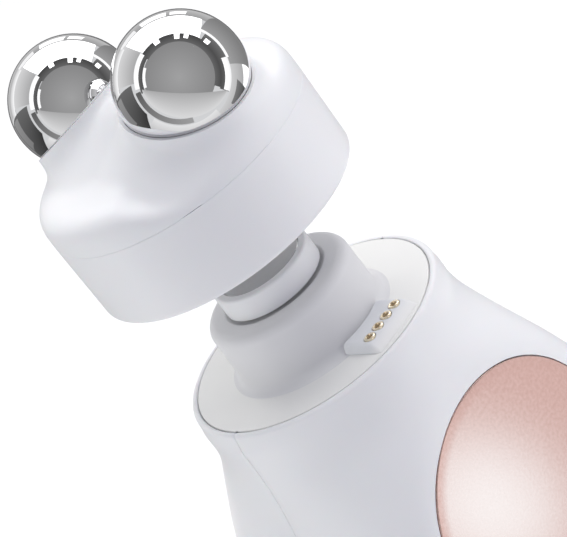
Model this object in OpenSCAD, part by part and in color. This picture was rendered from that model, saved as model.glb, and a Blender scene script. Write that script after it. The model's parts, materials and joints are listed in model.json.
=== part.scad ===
/* [Handle] */
// Height from the surface it stands on to the face plate
handle_h = 92; // [86:1:100]
// Radius of the round head
head_r = 26.9; // [26.3:0.1:28.5]
// Radius of the neck just below the head
neck_r = 27.5; // [26.8:0.1:29.5]
// Half of the greatest width
flank_r = 42.5; // [39:0.5:47]
// Height at which the handle is widest
widest_z = 26; // [20:1:32]
// Half of the thickness across the two faces
face_y = 27.9; // [27.2:0.1:30]
// Half of the thickness at the waist below the head
waist_y = 26.5; // [26:0.1:27.5]
// Half length of the flat underside
base_half_x = 16; // [14:0.5:20]
// Half depth of the flat underside
base_half_y = 12; // [10:0.5:15]
// Wall of the two shells
wall = 2.4; // [2.1:0.1:3]

/* [Discs] */
// Radius of the metal disc in each face
disc_r = 24.75; // [22:0.25:25.5]
// Height of the disc centres
disc_z = 50; // [47:0.5:53]
// Thickness of a disc at its edge
disc_t = 1.2; // [0.8:0.1:1.4]
// How far the middle of a disc swells
disc_dome = 0.3; // [0.1:0.05:0.6]

/* [Face plate] */
// Thickness of the face plate
plate_t = 2.2; // [1.8:0.1:3]
// Width of the dark gasket round the plate
gasket_w = 0.35; // [0.25:0.05:0.5]
// Width of the shell lip outside the gasket
lip_w = 1.15; // [0.9:0.05:1.5]

/* [Boot and percussion shaft] */
// Outer radius of the soft boot
boot_r = 15.4; // [14.5:0.1:16.5]
// Height of the boot above the plate
boot_h = 12.4; // [11:0.1:14]
// Wall of the boot
boot_wall = 1.8; // [1.2:0.1:2.4]
// Radius of the percussion shaft
shaft_r = 4; // [3.5:0.1:4.5]
// Radius of the collar on top of the shaft
collar_r = 10.3; // [9.5:0.1:11]
// Height of the collar
collar_h = 4.9; // [4:0.1:5.5]
// Radius of the magnet in the collar
magnet_r = 8.6; // [7:0.1:9]
// Full stroke of the shaft
stroke = 1.5; // [1:0.1:2]

/* [Drive] */
// Height of the crank axis
crank_z = 66; // [64:0.5:68]
// Radius of the crank disc
crank_r = 7; // [6:0.5:8]
// Thickness of the crank disc
crank_t = 3; // [2:0.5:3.5]
// Radius of the crank pin
crank_pin_r = 1.25; // [1:0.05:1.5]
// Radius of the motor can
motor_r = 12; // [10:0.5:13]
// Length of the motor can
motor_l = 14; // [10:0.5:15]
// Radius of the motor shaft
motor_shaft_r = 1.5; // [1:0.1:2]

/* [Contacts] */
// Distance between neighbouring spring contacts
pin_pitch = 2.8; // [2.6:0.05:3.2]
// Distance of the contact row from the head axis
pin_row_y = 20.9; // [20:0.1:21.5]
// Height of the contact block above the plate
block_h = 2; // [1.6:0.1:2.6]
// How far a spring contact stands out of the block
pin_out = 0.9; // [0.6:0.05:1.1]
// Travel of a spring contact
pin_travel = 0.6; // [0.4:0.05:0.8]

/* [Controls] */
// Height of the middle of the control strip
control_z = 61; // [58:0.5:64]
// Slope of the flank under the control strip, in degrees
control_tilt = 18; // [14:1:22]
// Length of the control strip
control_l = 29; // [28:0.5:32]
// Width of the control strip
control_w = 12; // [11:0.5:14]
// Radius of the power button
power_r = 4.4; // [4:0.1:4.8]
// Radius of the mode button
mode_r = 3.4; // [3:0.1:3.8]
// Travel of the buttons
button_travel = 0.5; // [0.3:0.05:0.6]

/* [Power] */
// Radius of the battery cell
cell_r = 9.2; // [7:0.1:9.4]
// Length of the battery cell
cell_l = 50; // [44:1:54]
// Height of the charging socket
socket_z = 25; // [22:0.5:28]
// Radius of the charging socket's mouth
socket_r = 3.1; // [2.6:0.1:3.4]

/* [Attachment] */
// Distance that the attachment is lifted off the head
att_lift = 28; // [24:0.5:40]
// Height of the skirt
skirt_h = 16.3; // [15.8:0.1:18]
// Wall of the skirt
skirt_wall = 2; // [1.6:0.1:2.2]
// Radius of the lid's shoulder
shoulder_r = 4; // [3:0.1:6]
// Slope of the lid towards its middle, in degrees
lid_slope = 12; // [8:0.5:20]

/* [Balls] */
// Radius of a ball
ball_r = 12.05; // [11.5:0.05:12.4]
// Distance of a ball centre from the head axis
ball_y = 15.8; // [15.4:0.05:16.2]
// Height of the ball centres above the skirt's bottom
ball_h = 31.3; // [31:0.05:33]
// Outward tilt of the ball axes, in degrees
ball_tilt = 20; // [16:0.5:22]
// Gap between a ball and its socket
ball_gap = 0.25; // [0.2:0.05:0.4]
// Distance of the socket's rim below the ball centre
rim_drop = 2.5; // [2:0.1:3.2]
// Radius of the stub axles
axle_r = 2; // [1.6:0.1:2.2]

/* [Hidden] */
$fn = 96;
clear = 0.3; // between bodies that move past each other
run = 0.05; // radial clearance of a running fit
fit = 0.1; // clearance of fixed pieces
eps = 0.01;

// ---- form of the handle ----
foot_out = 0.6;
rim_round = 0.8;
neck_z = handle_h - 4;
waist_z = handle_h - 6;
face_low_z = disc_z - disc_r - 0.8;
face_high_z = disc_z + disc_r + 0.4;
flat_half = 20;
flat_top = handle_h - 8;
flat_full = disc_z + 4;
low_power = 2.4;
square_top = 2;
square_mid = 3.2;
square_low = 2.6;

function smooth(u) = let (t = min(max(u, 0), 1)) t * t * (3 - 2 * t);
function bulge(z, top) = pow(1 - pow((top - z) / (top - foot_out), low_power), 1 / low_power);
function rim_cut(z) = z <= handle_h - rim_round ? 0
    : rim_round - sqrt(max(0, rim_round * rim_round - pow(z - handle_h + rim_round, 2)));
// half width, half thickness, half length of the flat face and corner power at one height
function half_x(z) = z < widest_z ? base_half_x + (flank_r - base_half_x) * bulge(z, widest_z)
    : z < neck_z ? neck_r + (flank_r - neck_r) * smooth(pow((neck_z - z) / (neck_z - widest_z), 1.2))
    : neck_r - (neck_r - head_r) * smooth((z - neck_z) / (handle_h - rim_round - neck_z)) - rim_cut(z);
function half_y(z) = z < face_low_z ? base_half_y + (face_y - base_half_y) * bulge(z, face_low_z)
    : z < waist_z ? waist_y + (face_y - waist_y) * smooth((waist_z - z) / (waist_z - face_high_z))
    : waist_y + (head_r - waist_y) * smooth((z - waist_z) / (handle_h - rim_round - waist_z)) - rim_cut(z);
function flat_x(z) = z < widest_z ? min(flat_half, half_x(z) * 0.5)
    : max(0.8, flat_half * smooth((flat_top - z) / (flat_top - flat_full)));
function corner(z) = z < face_low_z ? square_low + (square_mid - square_low) * smooth(z / face_low_z)
    : square_top + (square_mid - square_top) * smooth((waist_z - z) / (waist_z - disc_z - 12));

low_steps = 9;
mid_steps = 13;
top_steps = 5;
ring_z = concat(
    [for (i = [0 : low_steps - 1]) foot_out + (widest_z - foot_out) * (1 - cos(90 * i / low_steps))],
    [for (i = [0 : mid_steps - 1]) widest_z + (neck_z - widest_z) * i / mid_steps],
    [for (i = [0 : 1]) neck_z + (handle_h - rim_round - neck_z) * i / 2],
    [for (i = [0 : top_steps - 1]) handle_h - rim_round + rim_round * sin(90 * i / (top_steps - 1))]);
rings = len(ring_z);
corner_steps = 11;
flat_steps = 2;
around = 2 * corner_steps + flat_steps;
// one half ring from the seam at -X to the seam at +X, on the side given by the sign
function half_ring(z, inset, side) = let (
    w = half_x(z) - inset,
    d = half_y(z) - inset,
    f = min(flat_x(z), w - 1),
    c = 2 / corner(z))
    [for (j = [0 : around])
        let (
            left = j <= corner_steps,
            right = j >= corner_steps + flat_steps,
            t = left ? 90 * j / corner_steps : right ? 90 * (around - j) / corner_steps : 90,
            run_x = left || right ? f + (w - f) * pow(cos(t), c)
                : f * abs(1 - 2 * (j - corner_steps) / flat_steps),
            sx = j < around / 2 ? -1 : 1)
        [sx * run_x, side * d * (j == 0 || j == around ? 0 : pow(sin(t), c))]];
function inner_z(z) = foot_out + wall + (z - foot_out) * (handle_h - foot_out - wall) / (handle_h - foot_out);
function lift(points, z) = [for (p = points) [p[0], p[1], z]];
// a strip between a chain of 2 n + 1 points (a, step sa) and one of n + 1 points (b, step sb)
function strip(a, sa, b, sb, n) = [for (k = [0 : n - 1])
    let (p = a + 2 * k * sa, q = b + k * sb)
    each [[p, p + sa, q], [p + sa, p + 2 * sa, q + sb], [q, p + sa, q + sb]]];
function turned(faces) = [for (f = faces) [for (k = [len(f) - 1 : -1 : 0]) f[k]]];
function skin(rows, cols, first, n) = [for (i = [0 : rows - 1], j = [0 : cols - 1])
    let (a = first + i * n + j) each [[a, a + 1, a + n + 1], [a, a + n + 1, a + n]]];

// half of the handle's shell: a fine outer skin and a lining with half as many rings and columns
module half_shell(side) {
    n = around + 1;
    cols = around / 2;
    rows = (rings - 1) / 2;
    outer = [for (z = ring_z) each lift(half_ring(z, 0, side), z)];
    inner = [for (i = [0 : rows])
        let (z = ring_z[2 * i], ring = half_ring(z, wall, side))
        each [for (j = [0 : cols]) [ring[2 * j][0], ring[2 * j][1], inner_z(z)]]];
    m = len(outer);
    last = (rings - 1) * n;
    faces = concat(
        skin(rings - 1, around, 0, n),
        turned(skin(rows, cols, m, cols + 1)),
        [[for (j = [around : -1 : 0]) j], [for (j = [0 : cols]) j + m]],
        strip(last, 1, m + rows * (cols + 1), 1, cols),
        strip(0, n, m, cols + 1, rows),
        turned(strip(around, n, m + cols, cols + 1, rows)),
        [[0, m, m + cols], [0, m + cols, around]]);
    // a front half runs the other way round, so its faces are turned over
    polyhedron(concat(outer, inner), side < 0 ? turned(faces) : faces);
}

// ---- places shared by several pieces ----
plate_r = head_r - lip_w - gasket_w;
plate_z = handle_h - plate_t;
pocket_r = disc_r + 0.2;
pocket_t = disc_t + 0.05;
screw_x = 17.5;
screw_dz = 12.5;
screw_r = 1.1;
post_r = 3.1;
post_gap = 0.3;
screw_head_r = 2;
screw_head_t = 1.4;
screw_spots = [for (sx = [-1, 1], sz = [-1, 1]) [sx * screw_x, disc_z + sz * screw_dz]];

// along Y at one height, from y0 to y1
module along_y(x, z, y0, y1, r) {
    translate([x, y0, z]) rotate([-90, 0, 0]) cylinder(r = r, h = y1 - y0);
}

// frame of the control strip: its Z points out of the flank
module on_flank() {
    translate([half_x(control_z) - 0.4, 0, control_z]) rotate([0, 90 - control_tilt, 0]) children();
}
bezel_t = 1.4;
bezel_leg_x = control_l / 2 - 2.1;
bezel_leg_r = 1.2;
power_x = -0.193 * control_l;
mode_x = 0.152 * control_l;
light_x = 0.331 * control_l;
light_pitch = 3;
light_r = 0.7;
stem_r = 1.9;
stem_end = -4.2;
board_top = -7.2;
board_t = 1;

module stadium(length, width) {
    square([length - width, width], center = true);
    for (s = [-1, 1]) translate([s * (length - width) / 2, 0]) circle(d = width);
}

foot_l = 26;
foot_w = 16;
foot_t = 1.6;
socket_body_r = 4.4;

module shell_half(side) {
    difference() {
        union() {
            half_shell(side);
            // screw posts between the shell and the seam
            for (p = screw_spots)
                along_y(p[0], p[1], side < 0 ? -face_y + pocket_t + 0.4 : 0, side < 0 ? 0 : face_y - pocket_t - 0.4, post_r);
        }
        // seat of the face plate and its gasket
        translate([0, 0, plate_z]) cylinder(r = head_r - lip_w, h = plate_t + 1);
        // pocket for the disc
        along_y(0, disc_z, side < 0 ? -face_y - 2 : face_y - pocket_t, side < 0 ? -face_y + pocket_t : face_y + 2, pocket_r);
        for (p = screw_spots) {
            if (side < 0) along_y(p[0], p[1], -8, 1, screw_r - 0.15);
            else {
                along_y(p[0], p[1], -1, face_y, screw_r + fit);
                along_y(p[0], p[1], face_y - pocket_t - screw_head_t - fit, face_y, screw_head_r + fit);
            }
        }
        // pocket for the control strip, with holes for what goes through it
        on_flank() {
            translate([0, 0, -bezel_t]) linear_extrude(6) stadium(control_l + 2 * fit, control_w + 2 * fit);
            translate([power_x, 0, -9]) cylinder(r = stem_r + clear, h = 9);
            translate([mode_x, 0, -9]) cylinder(r = stem_r + clear, h = 9);
            for (s = [-1, 1]) translate([s * bezel_leg_x, 0, -9]) cylinder(r = bezel_leg_r + fit, h = 9);
            for (k = [-1 : 1]) translate([light_x, k * light_pitch, -9]) cylinder(r = light_r + fit, h = 9);
        }
        translate([flank_r - 8, 0, socket_z]) rotate([0, 90, 0]) cylinder(r = socket_body_r + fit, h = 12);
        translate([0, 0, -eps]) linear_extrude(foot_t + eps) stadium(foot_l + 2 * fit, foot_w + 2 * fit);
    }
}
module front_shell() { color("white") shell_half(-1); }
module rear_shell() { color("white") shell_half(1); }

// a slightly domed disc with a broken edge, its back at Z = 0
module domed_disc() {
    edge = 0.3;
    dome_r = (disc_r * disc_r + disc_dome * disc_dome) / (2 * disc_dome);
    rim = disc_r - edge;
    half = asin(rim / dome_r);
    rotate_extrude() polygon(concat([[0, 0], [disc_r, 0], [disc_r, disc_t - edge], [rim, disc_t]],
        [for (i = [1 : 5]) let (a = half * (1 - i / 5)) [dome_r * sin(a), disc_t + dome_r * (cos(a) - cos(half))]]));
}
module front_disc() {
    color([0.87, 0.71, 0.68]) translate([0, -face_y + pocket_t, disc_z]) rotate([90, 0, 0]) domed_disc();
}
module rear_disc() {
    color([0.87, 0.71, 0.68]) translate([0, face_y - pocket_t, disc_z]) rotate([-90, 0, 0]) domed_disc();
}

module base_foot() { color([0.8, 0.8, 0.82]) linear_extrude(foot_t) stadium(foot_l, foot_w); }

module shell_screws() {
    color("silver") for (p = screw_spots) difference() {
        union() {
            along_y(p[0], p[1], -7.5, face_y - pocket_t - 0.1, screw_r - 0.15);
            along_y(p[0], p[1], face_y - pocket_t - screw_head_t, face_y - pocket_t - 0.1, screw_head_r);
        }
        along_y(p[0], p[1], face_y - pocket_t - 0.8, face_y, 0.8);
    }
}

// ---- face plate, boot and contacts ----
boot_hole_r = boot_r - 2.2;
sleeve_r = 1.15;
plunger_r = 0.75;
tip_r = 0.5;
block_l = 13.4;
block_in_y = 16.3;
block_out_y = 23.4;
sleeve_low = plate_z - 2.6;
pin_x = [for (k = [0 : 3]) (k - 1.5) * pin_pitch];

module sleeve_holes(r) {
    for (x = pin_x) translate([x, -pin_row_y, sleeve_low - 1]) cylinder(r = r, h = 20);
}
module face_plate() {
    color([0.94, 0.94, 0.92]) difference() {
        translate([0, 0, plate_z]) cylinder(r = plate_r, h = plate_t);
        translate([0, 0, plate_z - 1]) cylinder(r = boot_hole_r + fit, h = plate_t + 2);
        sleeve_holes(sleeve_r + fit);
    }
}
module plate_gasket() {
    color([0.25, 0.25, 0.27]) translate([0, 0, plate_z]) difference() {
        cylinder(r = head_r - lip_w, h = plate_t - 0.3);
        translate([0, 0, -1]) cylinder(r = plate_r, h = plate_t + 2);
    }
}
boot_z = handle_h + boot_h;
boot_edge = 2;
module boot() {
    foot_flare = 0.7;
    neck = shaft_r + clear + 0.3;
    color([0.74, 0.74, 0.76]) rotate_extrude() polygon(concat(
        [[neck, boot_z - 1.4], [neck, boot_z - 0.5], [collar_r - 0.6, boot_z - 0.5], [collar_r + 0.4, boot_z]],
        [for (i = [0 : 5]) let (a = 90 - 90 * i / 5)
            [boot_r - boot_edge + boot_edge * cos(a), boot_z - boot_edge + boot_edge * sin(a)]],
        [[boot_r, handle_h + 2], [boot_r + 0.15, handle_h + 1], [boot_r + foot_flare, handle_h]],
        [[boot_hole_r, handle_h], [boot_hole_r, plate_z - 0.8], [boot_hole_r - boot_wall, plate_z - 0.8],
            [boot_hole_r - boot_wall, boot_z - 3.6], [boot_hole_r - boot_wall - 1.4, boot_z - 1.9], [neck + 1, boot_z - 1.9]]));
}
module contact_block() {
    top = handle_h + block_h;
    color([0.92, 0.92, 0.92]) difference() {
        intersection() {
            rotate([90, 0, 90]) translate([0, 0, -block_l / 2]) linear_extrude(block_l)
                polygon([[-block_out_y, handle_h], [-block_in_y + 2, handle_h], [-block_in_y + 2, top],
                    [-pin_row_y - 1.4, top], [-pin_row_y - 1.9, top - 0.3], [-block_out_y, handle_h + 0.2]]);
            rotate([90, 0, 0]) translate([0, 0, 5]) linear_extrude(25)
                polygon([[-block_l / 2, handle_h], [-block_l / 2 + 1.2, top - 0.3], [-block_l / 2 + 1.8, top],
                    [block_l / 2 - 1.8, top], [block_l / 2 - 1.2, top - 0.3], [block_l / 2, handle_h]]);
        }
        cylinder(r = boot_r + 0.75, h = 3 * handle_h);
        sleeve_holes(sleeve_r + fit);
    }
}
sleeve_top = handle_h + block_h + 0.1;
sleeve_lip = 0.3;
module contact_sleeves() {
    color("gold") for (x = pin_x) translate([x, -pin_row_y, 0]) difference() {
        translate([0, 0, sleeve_low]) cylinder(r = sleeve_r, h = sleeve_top - sleeve_low);
        translate([0, 0, sleeve_low + 0.4]) cylinder(r = plunger_r + run, h = sleeve_top - sleeve_lip - sleeve_low - 0.4);
        translate([0, 0, sleeve_low + 1]) cylinder(r = tip_r + run, h = sleeve_top);
    }
}
module spring_contact(k) {
    top = sleeve_top + pin_out;
    color("gold") translate([pin_x[k], -pin_row_y, 0]) union() {
        translate([0, 0, sleeve_low + 0.5 + pin_travel])
            cylinder(r = plunger_r, h = sleeve_top - sleeve_lip - run - sleeve_low - 0.5 - pin_travel);
        translate([0, 0, sleeve_low + 2]) cylinder(r = tip_r, h = top - tip_r - sleeve_low - 2);
        translate([0, 0, top - tip_r]) sphere(r = tip_r);
    }
}
module contact_1() { spring_contact(0); }
module contact_2() { spring_contact(1); }
module contact_3() { spring_contact(2); }
module contact_4() { spring_contact(3); }

// ---- drive ----
throw = stroke / 2;
yoke_t = 4;
yoke_w = 15;
yoke_h = 9;
slot_h = 2 * crank_pin_r + 0.2;
slot_l = 2 * (crank_pin_r + throw) + 0.6;
crank_y = yoke_t / 2 + 2.4;
motor_wall_y = crank_y + crank_t + clear;
motor_wall_t = 2;
bearing_r = 4;
bearing_t = motor_wall_t;
bush_out = 6;
bush_low = handle_h - 8;
bush_h = 15;
tower_r = 8.4;
deck_z = handle_h - 9;
deck_t = 2;
deck_r = 20;
yoke_z = crank_z - throw;

module chassis() {
    color([0.35, 0.36, 0.38]) difference() {
        union() {
            // wall that carries the motor, hung on the screw posts
            translate([-screw_x - 4.5, motor_wall_y, disc_z + 5]) cube([2 * screw_x + 9, motor_wall_t, deck_z - disc_z - 5]);
            translate([0, 0, deck_z]) cylinder(r = deck_r, h = deck_t);
            translate([0, 0, deck_z]) cylinder(r = tower_r, h = bush_low + bush_h - deck_z);
            // ribs up to the face plate
            for (a = [0 : 90 : 270]) rotate([0, 0, a + 45]) translate([tower_r - 1, -0.8, deck_z])
                cube([deck_r - tower_r - 2, 1.6, plate_z - deck_z]);
        }
        translate([0, 0, deck_z - 1]) cylinder(r = bush_out, h = 40);
        for (p = screw_spots) along_y(p[0], p[1], 0, 20, post_r + post_gap);
        along_y(0, crank_z, 0, 20, bearing_r);
        sleeve_holes(sleeve_r + 0.5);
        // the ribs make room for the boot's lower lip
        translate([0, 0, plate_z - 0.8 - fit]) difference() {
            cylinder(r = boot_hole_r + fit, h = 2);
            translate([0, 0, -1]) cylinder(r = boot_hole_r - boot_wall - fit, h = 4);
        }
        // room round the yoke
        translate([-yoke_w / 2 - 1, -yoke_t / 2 - 1, deck_z - 1]) cube([yoke_w + 2, yoke_t + 2, deck_t + 1]);
    }
}
module motor() {
    color([0.6, 0.6, 0.62]) difference() {
        along_y(0, crank_z, motor_wall_y + motor_wall_t, motor_wall_y + motor_wall_t + motor_l, motor_r);
        along_y(0, crank_z, 0, motor_wall_y + motor_wall_t + motor_l - 2, motor_shaft_r + run);
    }
}
module crank_bearing() {
    color("silver") difference() {
        along_y(0, crank_z, motor_wall_y, motor_wall_y + bearing_t, bearing_r);
        along_y(0, crank_z, motor_wall_y - 1, motor_wall_y + bearing_t + 1, motor_shaft_r + run);
    }
}
// disc, counterweight side, pin and motor shaft in one turning piece; the pin is at the bottom
module crank() {
    color([0.55, 0.5, 0.42]) difference() {
        union() {
            along_y(0, crank_z, crank_y, crank_y + crank_t, crank_r);
            along_y(0, crank_z, crank_y + crank_t - 1, motor_wall_y + motor_wall_t + motor_l - 2.3, motor_shaft_r);
            along_y(0, crank_z - throw, yoke_t / 2 + clear, crank_y + 0.5, crank_pin_r);
        }
        for (s = [-1, 1]) along_y(s * crank_r * 0.5, crank_z - crank_r * 0.45, crank_y - 1, crank_y + crank_t + 1, 1.6);
    }
}
module percussion_shaft() {
    color([0.75, 0.76, 0.78]) difference() {
        union() {
            translate([0, 0, yoke_z]) cylinder(r = shaft_r, h = boot_z + 2.5 - yoke_z);
            translate([-yoke_w / 2, -yoke_t / 2, yoke_z - yoke_h / 2]) cube([yoke_w, yoke_t, yoke_h]);
        }
        // the flats that make the shaft's foot as thin as the yoke
        for (s = [-1, 1]) translate([-shaft_r - 1, s > 0 ? yoke_t / 2 : -yoke_t / 2 - 10, yoke_z - 1])
            cube([2 * shaft_r + 2, 10, yoke_h / 2 + 4]);
        translate([0, 5, yoke_z]) rotate([90, 0, 0]) linear_extrude(10) stadium(slot_l, slot_h);
    }
}
module guide_bush() {
    color([0.72, 0.6, 0.35]) translate([0, 0, bush_low]) difference() {
        cylinder(r = bush_out, h = bush_h);
        translate([0, 0, -1]) cylinder(r = shaft_r + run, h = bush_h + 2);
    }
}
collar_z = boot_z + clear;
collar_edge = 0.7;
magnet_t = 2.2;
module collar() {
    color("white") difference() {
        translate([0, 0, collar_z]) rotate_extrude() polygon(concat([[0, 0], [collar_r - 0.4, 0], [collar_r, 0.4]],
            [for (i = [0 : 4]) let (a = 90 * i / 4)
                [collar_r - collar_edge + collar_edge * cos(a), collar_h - collar_edge + collar_edge * sin(a)]],
            [[0, collar_h]]));
        translate([0, 0, collar_z + collar_h - magnet_t]) cylinder(r = magnet_r, h = magnet_t + 1);
        translate([0, 0, collar_z - 1]) cylinder(r = shaft_r, h = boot_z + 2.5 - collar_z + 1);
    }
}
module collar_magnet() {
    color([0.5, 0.5, 0.52]) translate([0, 0, collar_z + collar_h - magnet_t])
        cylinder(r = magnet_r - run, h = magnet_t - 0.15);
}

// ---- power and boards ----
cell_z = foot_out + wall + 1.6 + cell_r;
cradle_wall = 1.4;
module battery_cell() {
    color([0.2, 0.45, 0.6]) translate([0, 0, cell_z]) rotate([0, 90, 0]) {
        translate([0, 0, -cell_l / 2]) cylinder(r = cell_r, h = cell_l);
        translate([0, 0, cell_l / 2 - eps]) cylinder(r = 3, h = 1 + eps);
    }
}
module battery_cradle() {
    l = cell_l * 0.62;
    color([0.35, 0.36, 0.38]) difference() {
        union() {
            translate([0, 0, cell_z]) rotate([0, 90, 0]) translate([0, 0, -l / 2]) cylinder(r = cell_r + cradle_wall, h = l);
            // the leg stands on the flat middle of the shell floor
            translate([1 - foot_l / 2, -6, foot_out + wall]) cube([foot_l - 2, 12, cell_z - foot_out - wall]);
        }
        translate([-l, 0, cell_z]) rotate([0, 90, 0]) cylinder(r = cell_r + run, h = 2 * l);
        translate([-l, -2 * cell_r, cell_z + 2]) cube([2 * l, 4 * cell_r, 3 * cell_r]);
        // the cell's round seat stays above the shell floor
        translate([-l, -2 * cell_r, -10]) cube([2 * l, 4 * cell_r, 10 + foot_out + wall]);
    }
}
board_y = -15;
module main_board() {
    w = 2 * screw_x + 8;
    color([0.1, 0.4, 0.25]) difference() {
        union() {
            translate([-w / 2, board_y, disc_z - screw_dz - 4.5]) cube([w, 1.6, 2 * screw_dz + 9]);
            translate([-8, board_y + 1.6, disc_z - 10]) cube([12, 1.4, 12]);
            translate([6, board_y + 1.6, disc_z + 3]) cube([7, 2, 5]);
            translate([-12, board_y + 1.6, disc_z + 6]) cube([9, 3, 6]);
        }
        for (p = screw_spots) along_y(p[0], p[1], board_y - 1, board_y + 6, post_r + fit);
    }
}
module charging_socket() {
    color([0.15, 0.15, 0.16]) translate([flank_r, 0, socket_z]) rotate([0, -90, 0]) difference() {
        union() {
            cylinder(r = socket_body_r, h = 11);
            translate([0, 0, wall + 1.5]) cylinder(r = socket_body_r + 1.4, h = 1.6);
        }
        translate([0, 0, -1]) difference() {
            cylinder(r = socket_r, h = 9.5);
            cylinder(r = 0.95, h = 10);
        }
        translate([0, 0, -1]) cylinder(r = socket_r, h = 2.2);
    }
}

// ---- controls ----
module control_bezel() {
    color([0.82, 0.82, 0.84]) on_flank() difference() {
        union() {
            translate([0, 0, -bezel_t]) linear_extrude(bezel_t) stadium(control_l, control_w);
            for (s = [-1, 1]) translate([s * bezel_leg_x, 0, board_top]) cylinder(r = bezel_leg_r, h = -board_top);
        }
        translate([power_x, 0, -5]) cylinder(r = power_r + clear / 2, h = 9);
        translate([mode_x, 0, -5]) cylinder(r = mode_r + clear / 2, h = 9);
        for (k = [-1 : 1]) translate([light_x, k * light_pitch, -5]) cylinder(r = light_r + run, h = 9);
    }
}
button_low = -bezel_t + button_travel + 0.1;
module push_button(x, r) {
    out = 0.9;
    edge = 0.45;
    on_flank() translate([x, 0, 0]) rotate_extrude() polygon(concat(
        [[0, stem_end], [stem_r, stem_end], [stem_r, button_low], [r, button_low]],
        [for (i = [0 : 4]) let (a = 90 * i / 4) [r - edge + edge * cos(a), out - edge + edge * sin(a)]],
        [[r * 0.5, out - 0.12], [0, out - 0.2]]));
}
module power_button() { color("white") push_button(power_x, power_r); }
module mode_button() { color("white") push_button(mode_x, mode_r); }
switch_gap = 0.1;
module tact_switches() {
    color([0.2, 0.2, 0.22]) on_flank() for (x = [power_x, mode_x]) {
        translate([x - 2.8, -2.8, board_top]) cube([5.6, 5.6, 1.6]);
        translate([x, 0, board_top]) cylinder(r = 1.6, h = stem_end - button_travel - switch_gap - board_top);
    }
}
module button_board() {
    color([0.1, 0.4, 0.25]) on_flank() translate([-control_l / 2 + 0.5, -5.2, board_top - board_t])
        cube([control_l - 1, 10.4, board_t]);
}
module indicator_lights() {
    color([0.95, 0.97, 1]) on_flank() for (k = [-1 : 1]) translate([light_x, k * light_pitch, board_top])
        cylinder(r = light_r, h = -board_top + 0.05);
}

// ---- attachment, drawn from its own bottom plane ----
att_z = handle_h + att_lift;
parting_gap = 0.1;
web_z = 13;
web_t = 1.6;
cup_in = collar_r + 0.6;
cup_out = cup_in + 1.3;
cup_roof = boot_h + clear + collar_h + stroke + clear;
cup_roof_t = 1.2;
cup_magnet_r = 5.4;
cup_magnet_t = 1.4;
socket_wall = 1.2;
cavity_r = ball_r + ball_gap;
skirt_post_x = 19;
skirt_post_y = 7;
skirt_post_r = 2.2;
skirt_screw_r = 0.9;
skirt_spots = [for (sx = [-1, 1], sy = [-1, 1]) [sx * skirt_post_x, sy * skirt_post_y]];
carrier_l = 13.4;
carrier_w = 5.2;
carrier_z = 3.4;

module on_attachment() { translate([0, 0, att_z]) children(); }
// frame of one ball: its Z is the ball's axis, its origin the ball's centre; the front ball is at -Y
module on_ball(side) { on_attachment() translate([0, side * ball_y, ball_h]) rotate([-side * ball_tilt, 0, 0]) children(); }

module skirt() {
    edge = 1.1;
    in = head_r - skirt_wall;
    color("white") on_attachment() difference() {
        rotate_extrude() polygon(concat(
            [[in, 0.4], [in + 0.4, 0]],
            [for (i = [0 : 5]) let (a = -90 + 90 * i / 5) [head_r - edge + edge * cos(a), edge + edge * sin(a)]],
            [[head_r + 0.1, skirt_h - 0.25], [head_r - 0.15, skirt_h], [in, skirt_h], [in, web_z + web_t],
                [cup_out + fit, web_z + web_t], [cup_out + fit, web_z], [in, web_z]]));
        for (p = skirt_spots) translate([p[0], p[1], web_z - 1]) cylinder(r = skirt_screw_r + fit, h = web_t + 2);
    }
}
// outline of the lid, moved inwards by an inset
function lid_outline(inset) = let (
    r = head_r + 0.1 - inset,
    round_r = shoulder_r - min(inset, shoulder_r - 1),
    rise = skirt_h + 3,
    peak = 6,
    ex = head_r + 0.1 - shoulder_r + (shoulder_r - inset) * sin(lid_slope),
    ez = rise + (shoulder_r - inset) * cos(lid_slope))
    concat([[r, skirt_h + parting_gap], [r, rise]],
        [for (i = [1 : 6]) let (a = (90 - lid_slope) * i / 6)
            [head_r + 0.1 - shoulder_r + (shoulder_r - inset) * cos(a), rise + (shoulder_r - inset) * sin(a)]],
        [[peak, ez + (ex - peak) * tan(lid_slope)], [0, ez + (ex - peak) * tan(lid_slope) + 0.6]]);
lid_wall = 1.8;
rim_land = 0.45;
rim_r = sqrt(cavity_r * cavity_r - rim_drop * rim_drop) + rim_land;

// socket flare about a ball's axis
module flare() {
    rotate_extrude() polygon([[0, -12], [rim_r + 5.4, -9.6], [rim_r + 3, -7.6], [rim_r + 1.3, -5.8],
        [rim_r + 0.35, -4.2], [rim_r, -rim_drop], [0, -rim_drop]]);
}
module lid() {
    color("white") difference() {
        union() {
            on_attachment() rotate_extrude() polygon(concat(lid_outline(0), [[0, skirt_h + parting_gap]]));
            intersection() {
                union() for (s = [-1, 1]) on_ball(s) flare();
                on_attachment() translate([0, 0, skirt_h + 1]) cylinder(r = head_r + 0.05, h = 30);
            }
        }
        // hollow inside, with the socket walls left standing
        difference() {
            on_attachment() rotate_extrude() polygon(concat(
                [[0, skirt_h - 1], [head_r + 0.1 - lid_wall, skirt_h - 1]], lid_outline(lid_wall)));
            for (s = [-1, 1]) on_ball(s) sphere(r = cavity_r + socket_wall);
            for (p = skirt_spots) on_attachment() translate([p[0], p[1], skirt_h + parting_gap]) cylinder(r = skirt_post_r, h = 20);
        }
        for (s = [-1, 1]) on_ball(s) {
            // cavity with a flat floor, open above the rim
            difference() {
                sphere(r = cavity_r);
                translate([0, 0, -cavity_r - 5]) cylinder(r = cavity_r, h = 5.6);
            }
            translate([0, 0, -rim_drop]) cylinder(r = rim_r + 4, h = 30);
            translate([0, 0, -cavity_r - 4]) cylinder(r = axle_r, h = 20);
        }
        for (p = skirt_spots) on_attachment() translate([p[0], p[1], skirt_h - 1]) cylinder(r = skirt_screw_r - 0.1, h = 5);
    }
}
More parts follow.
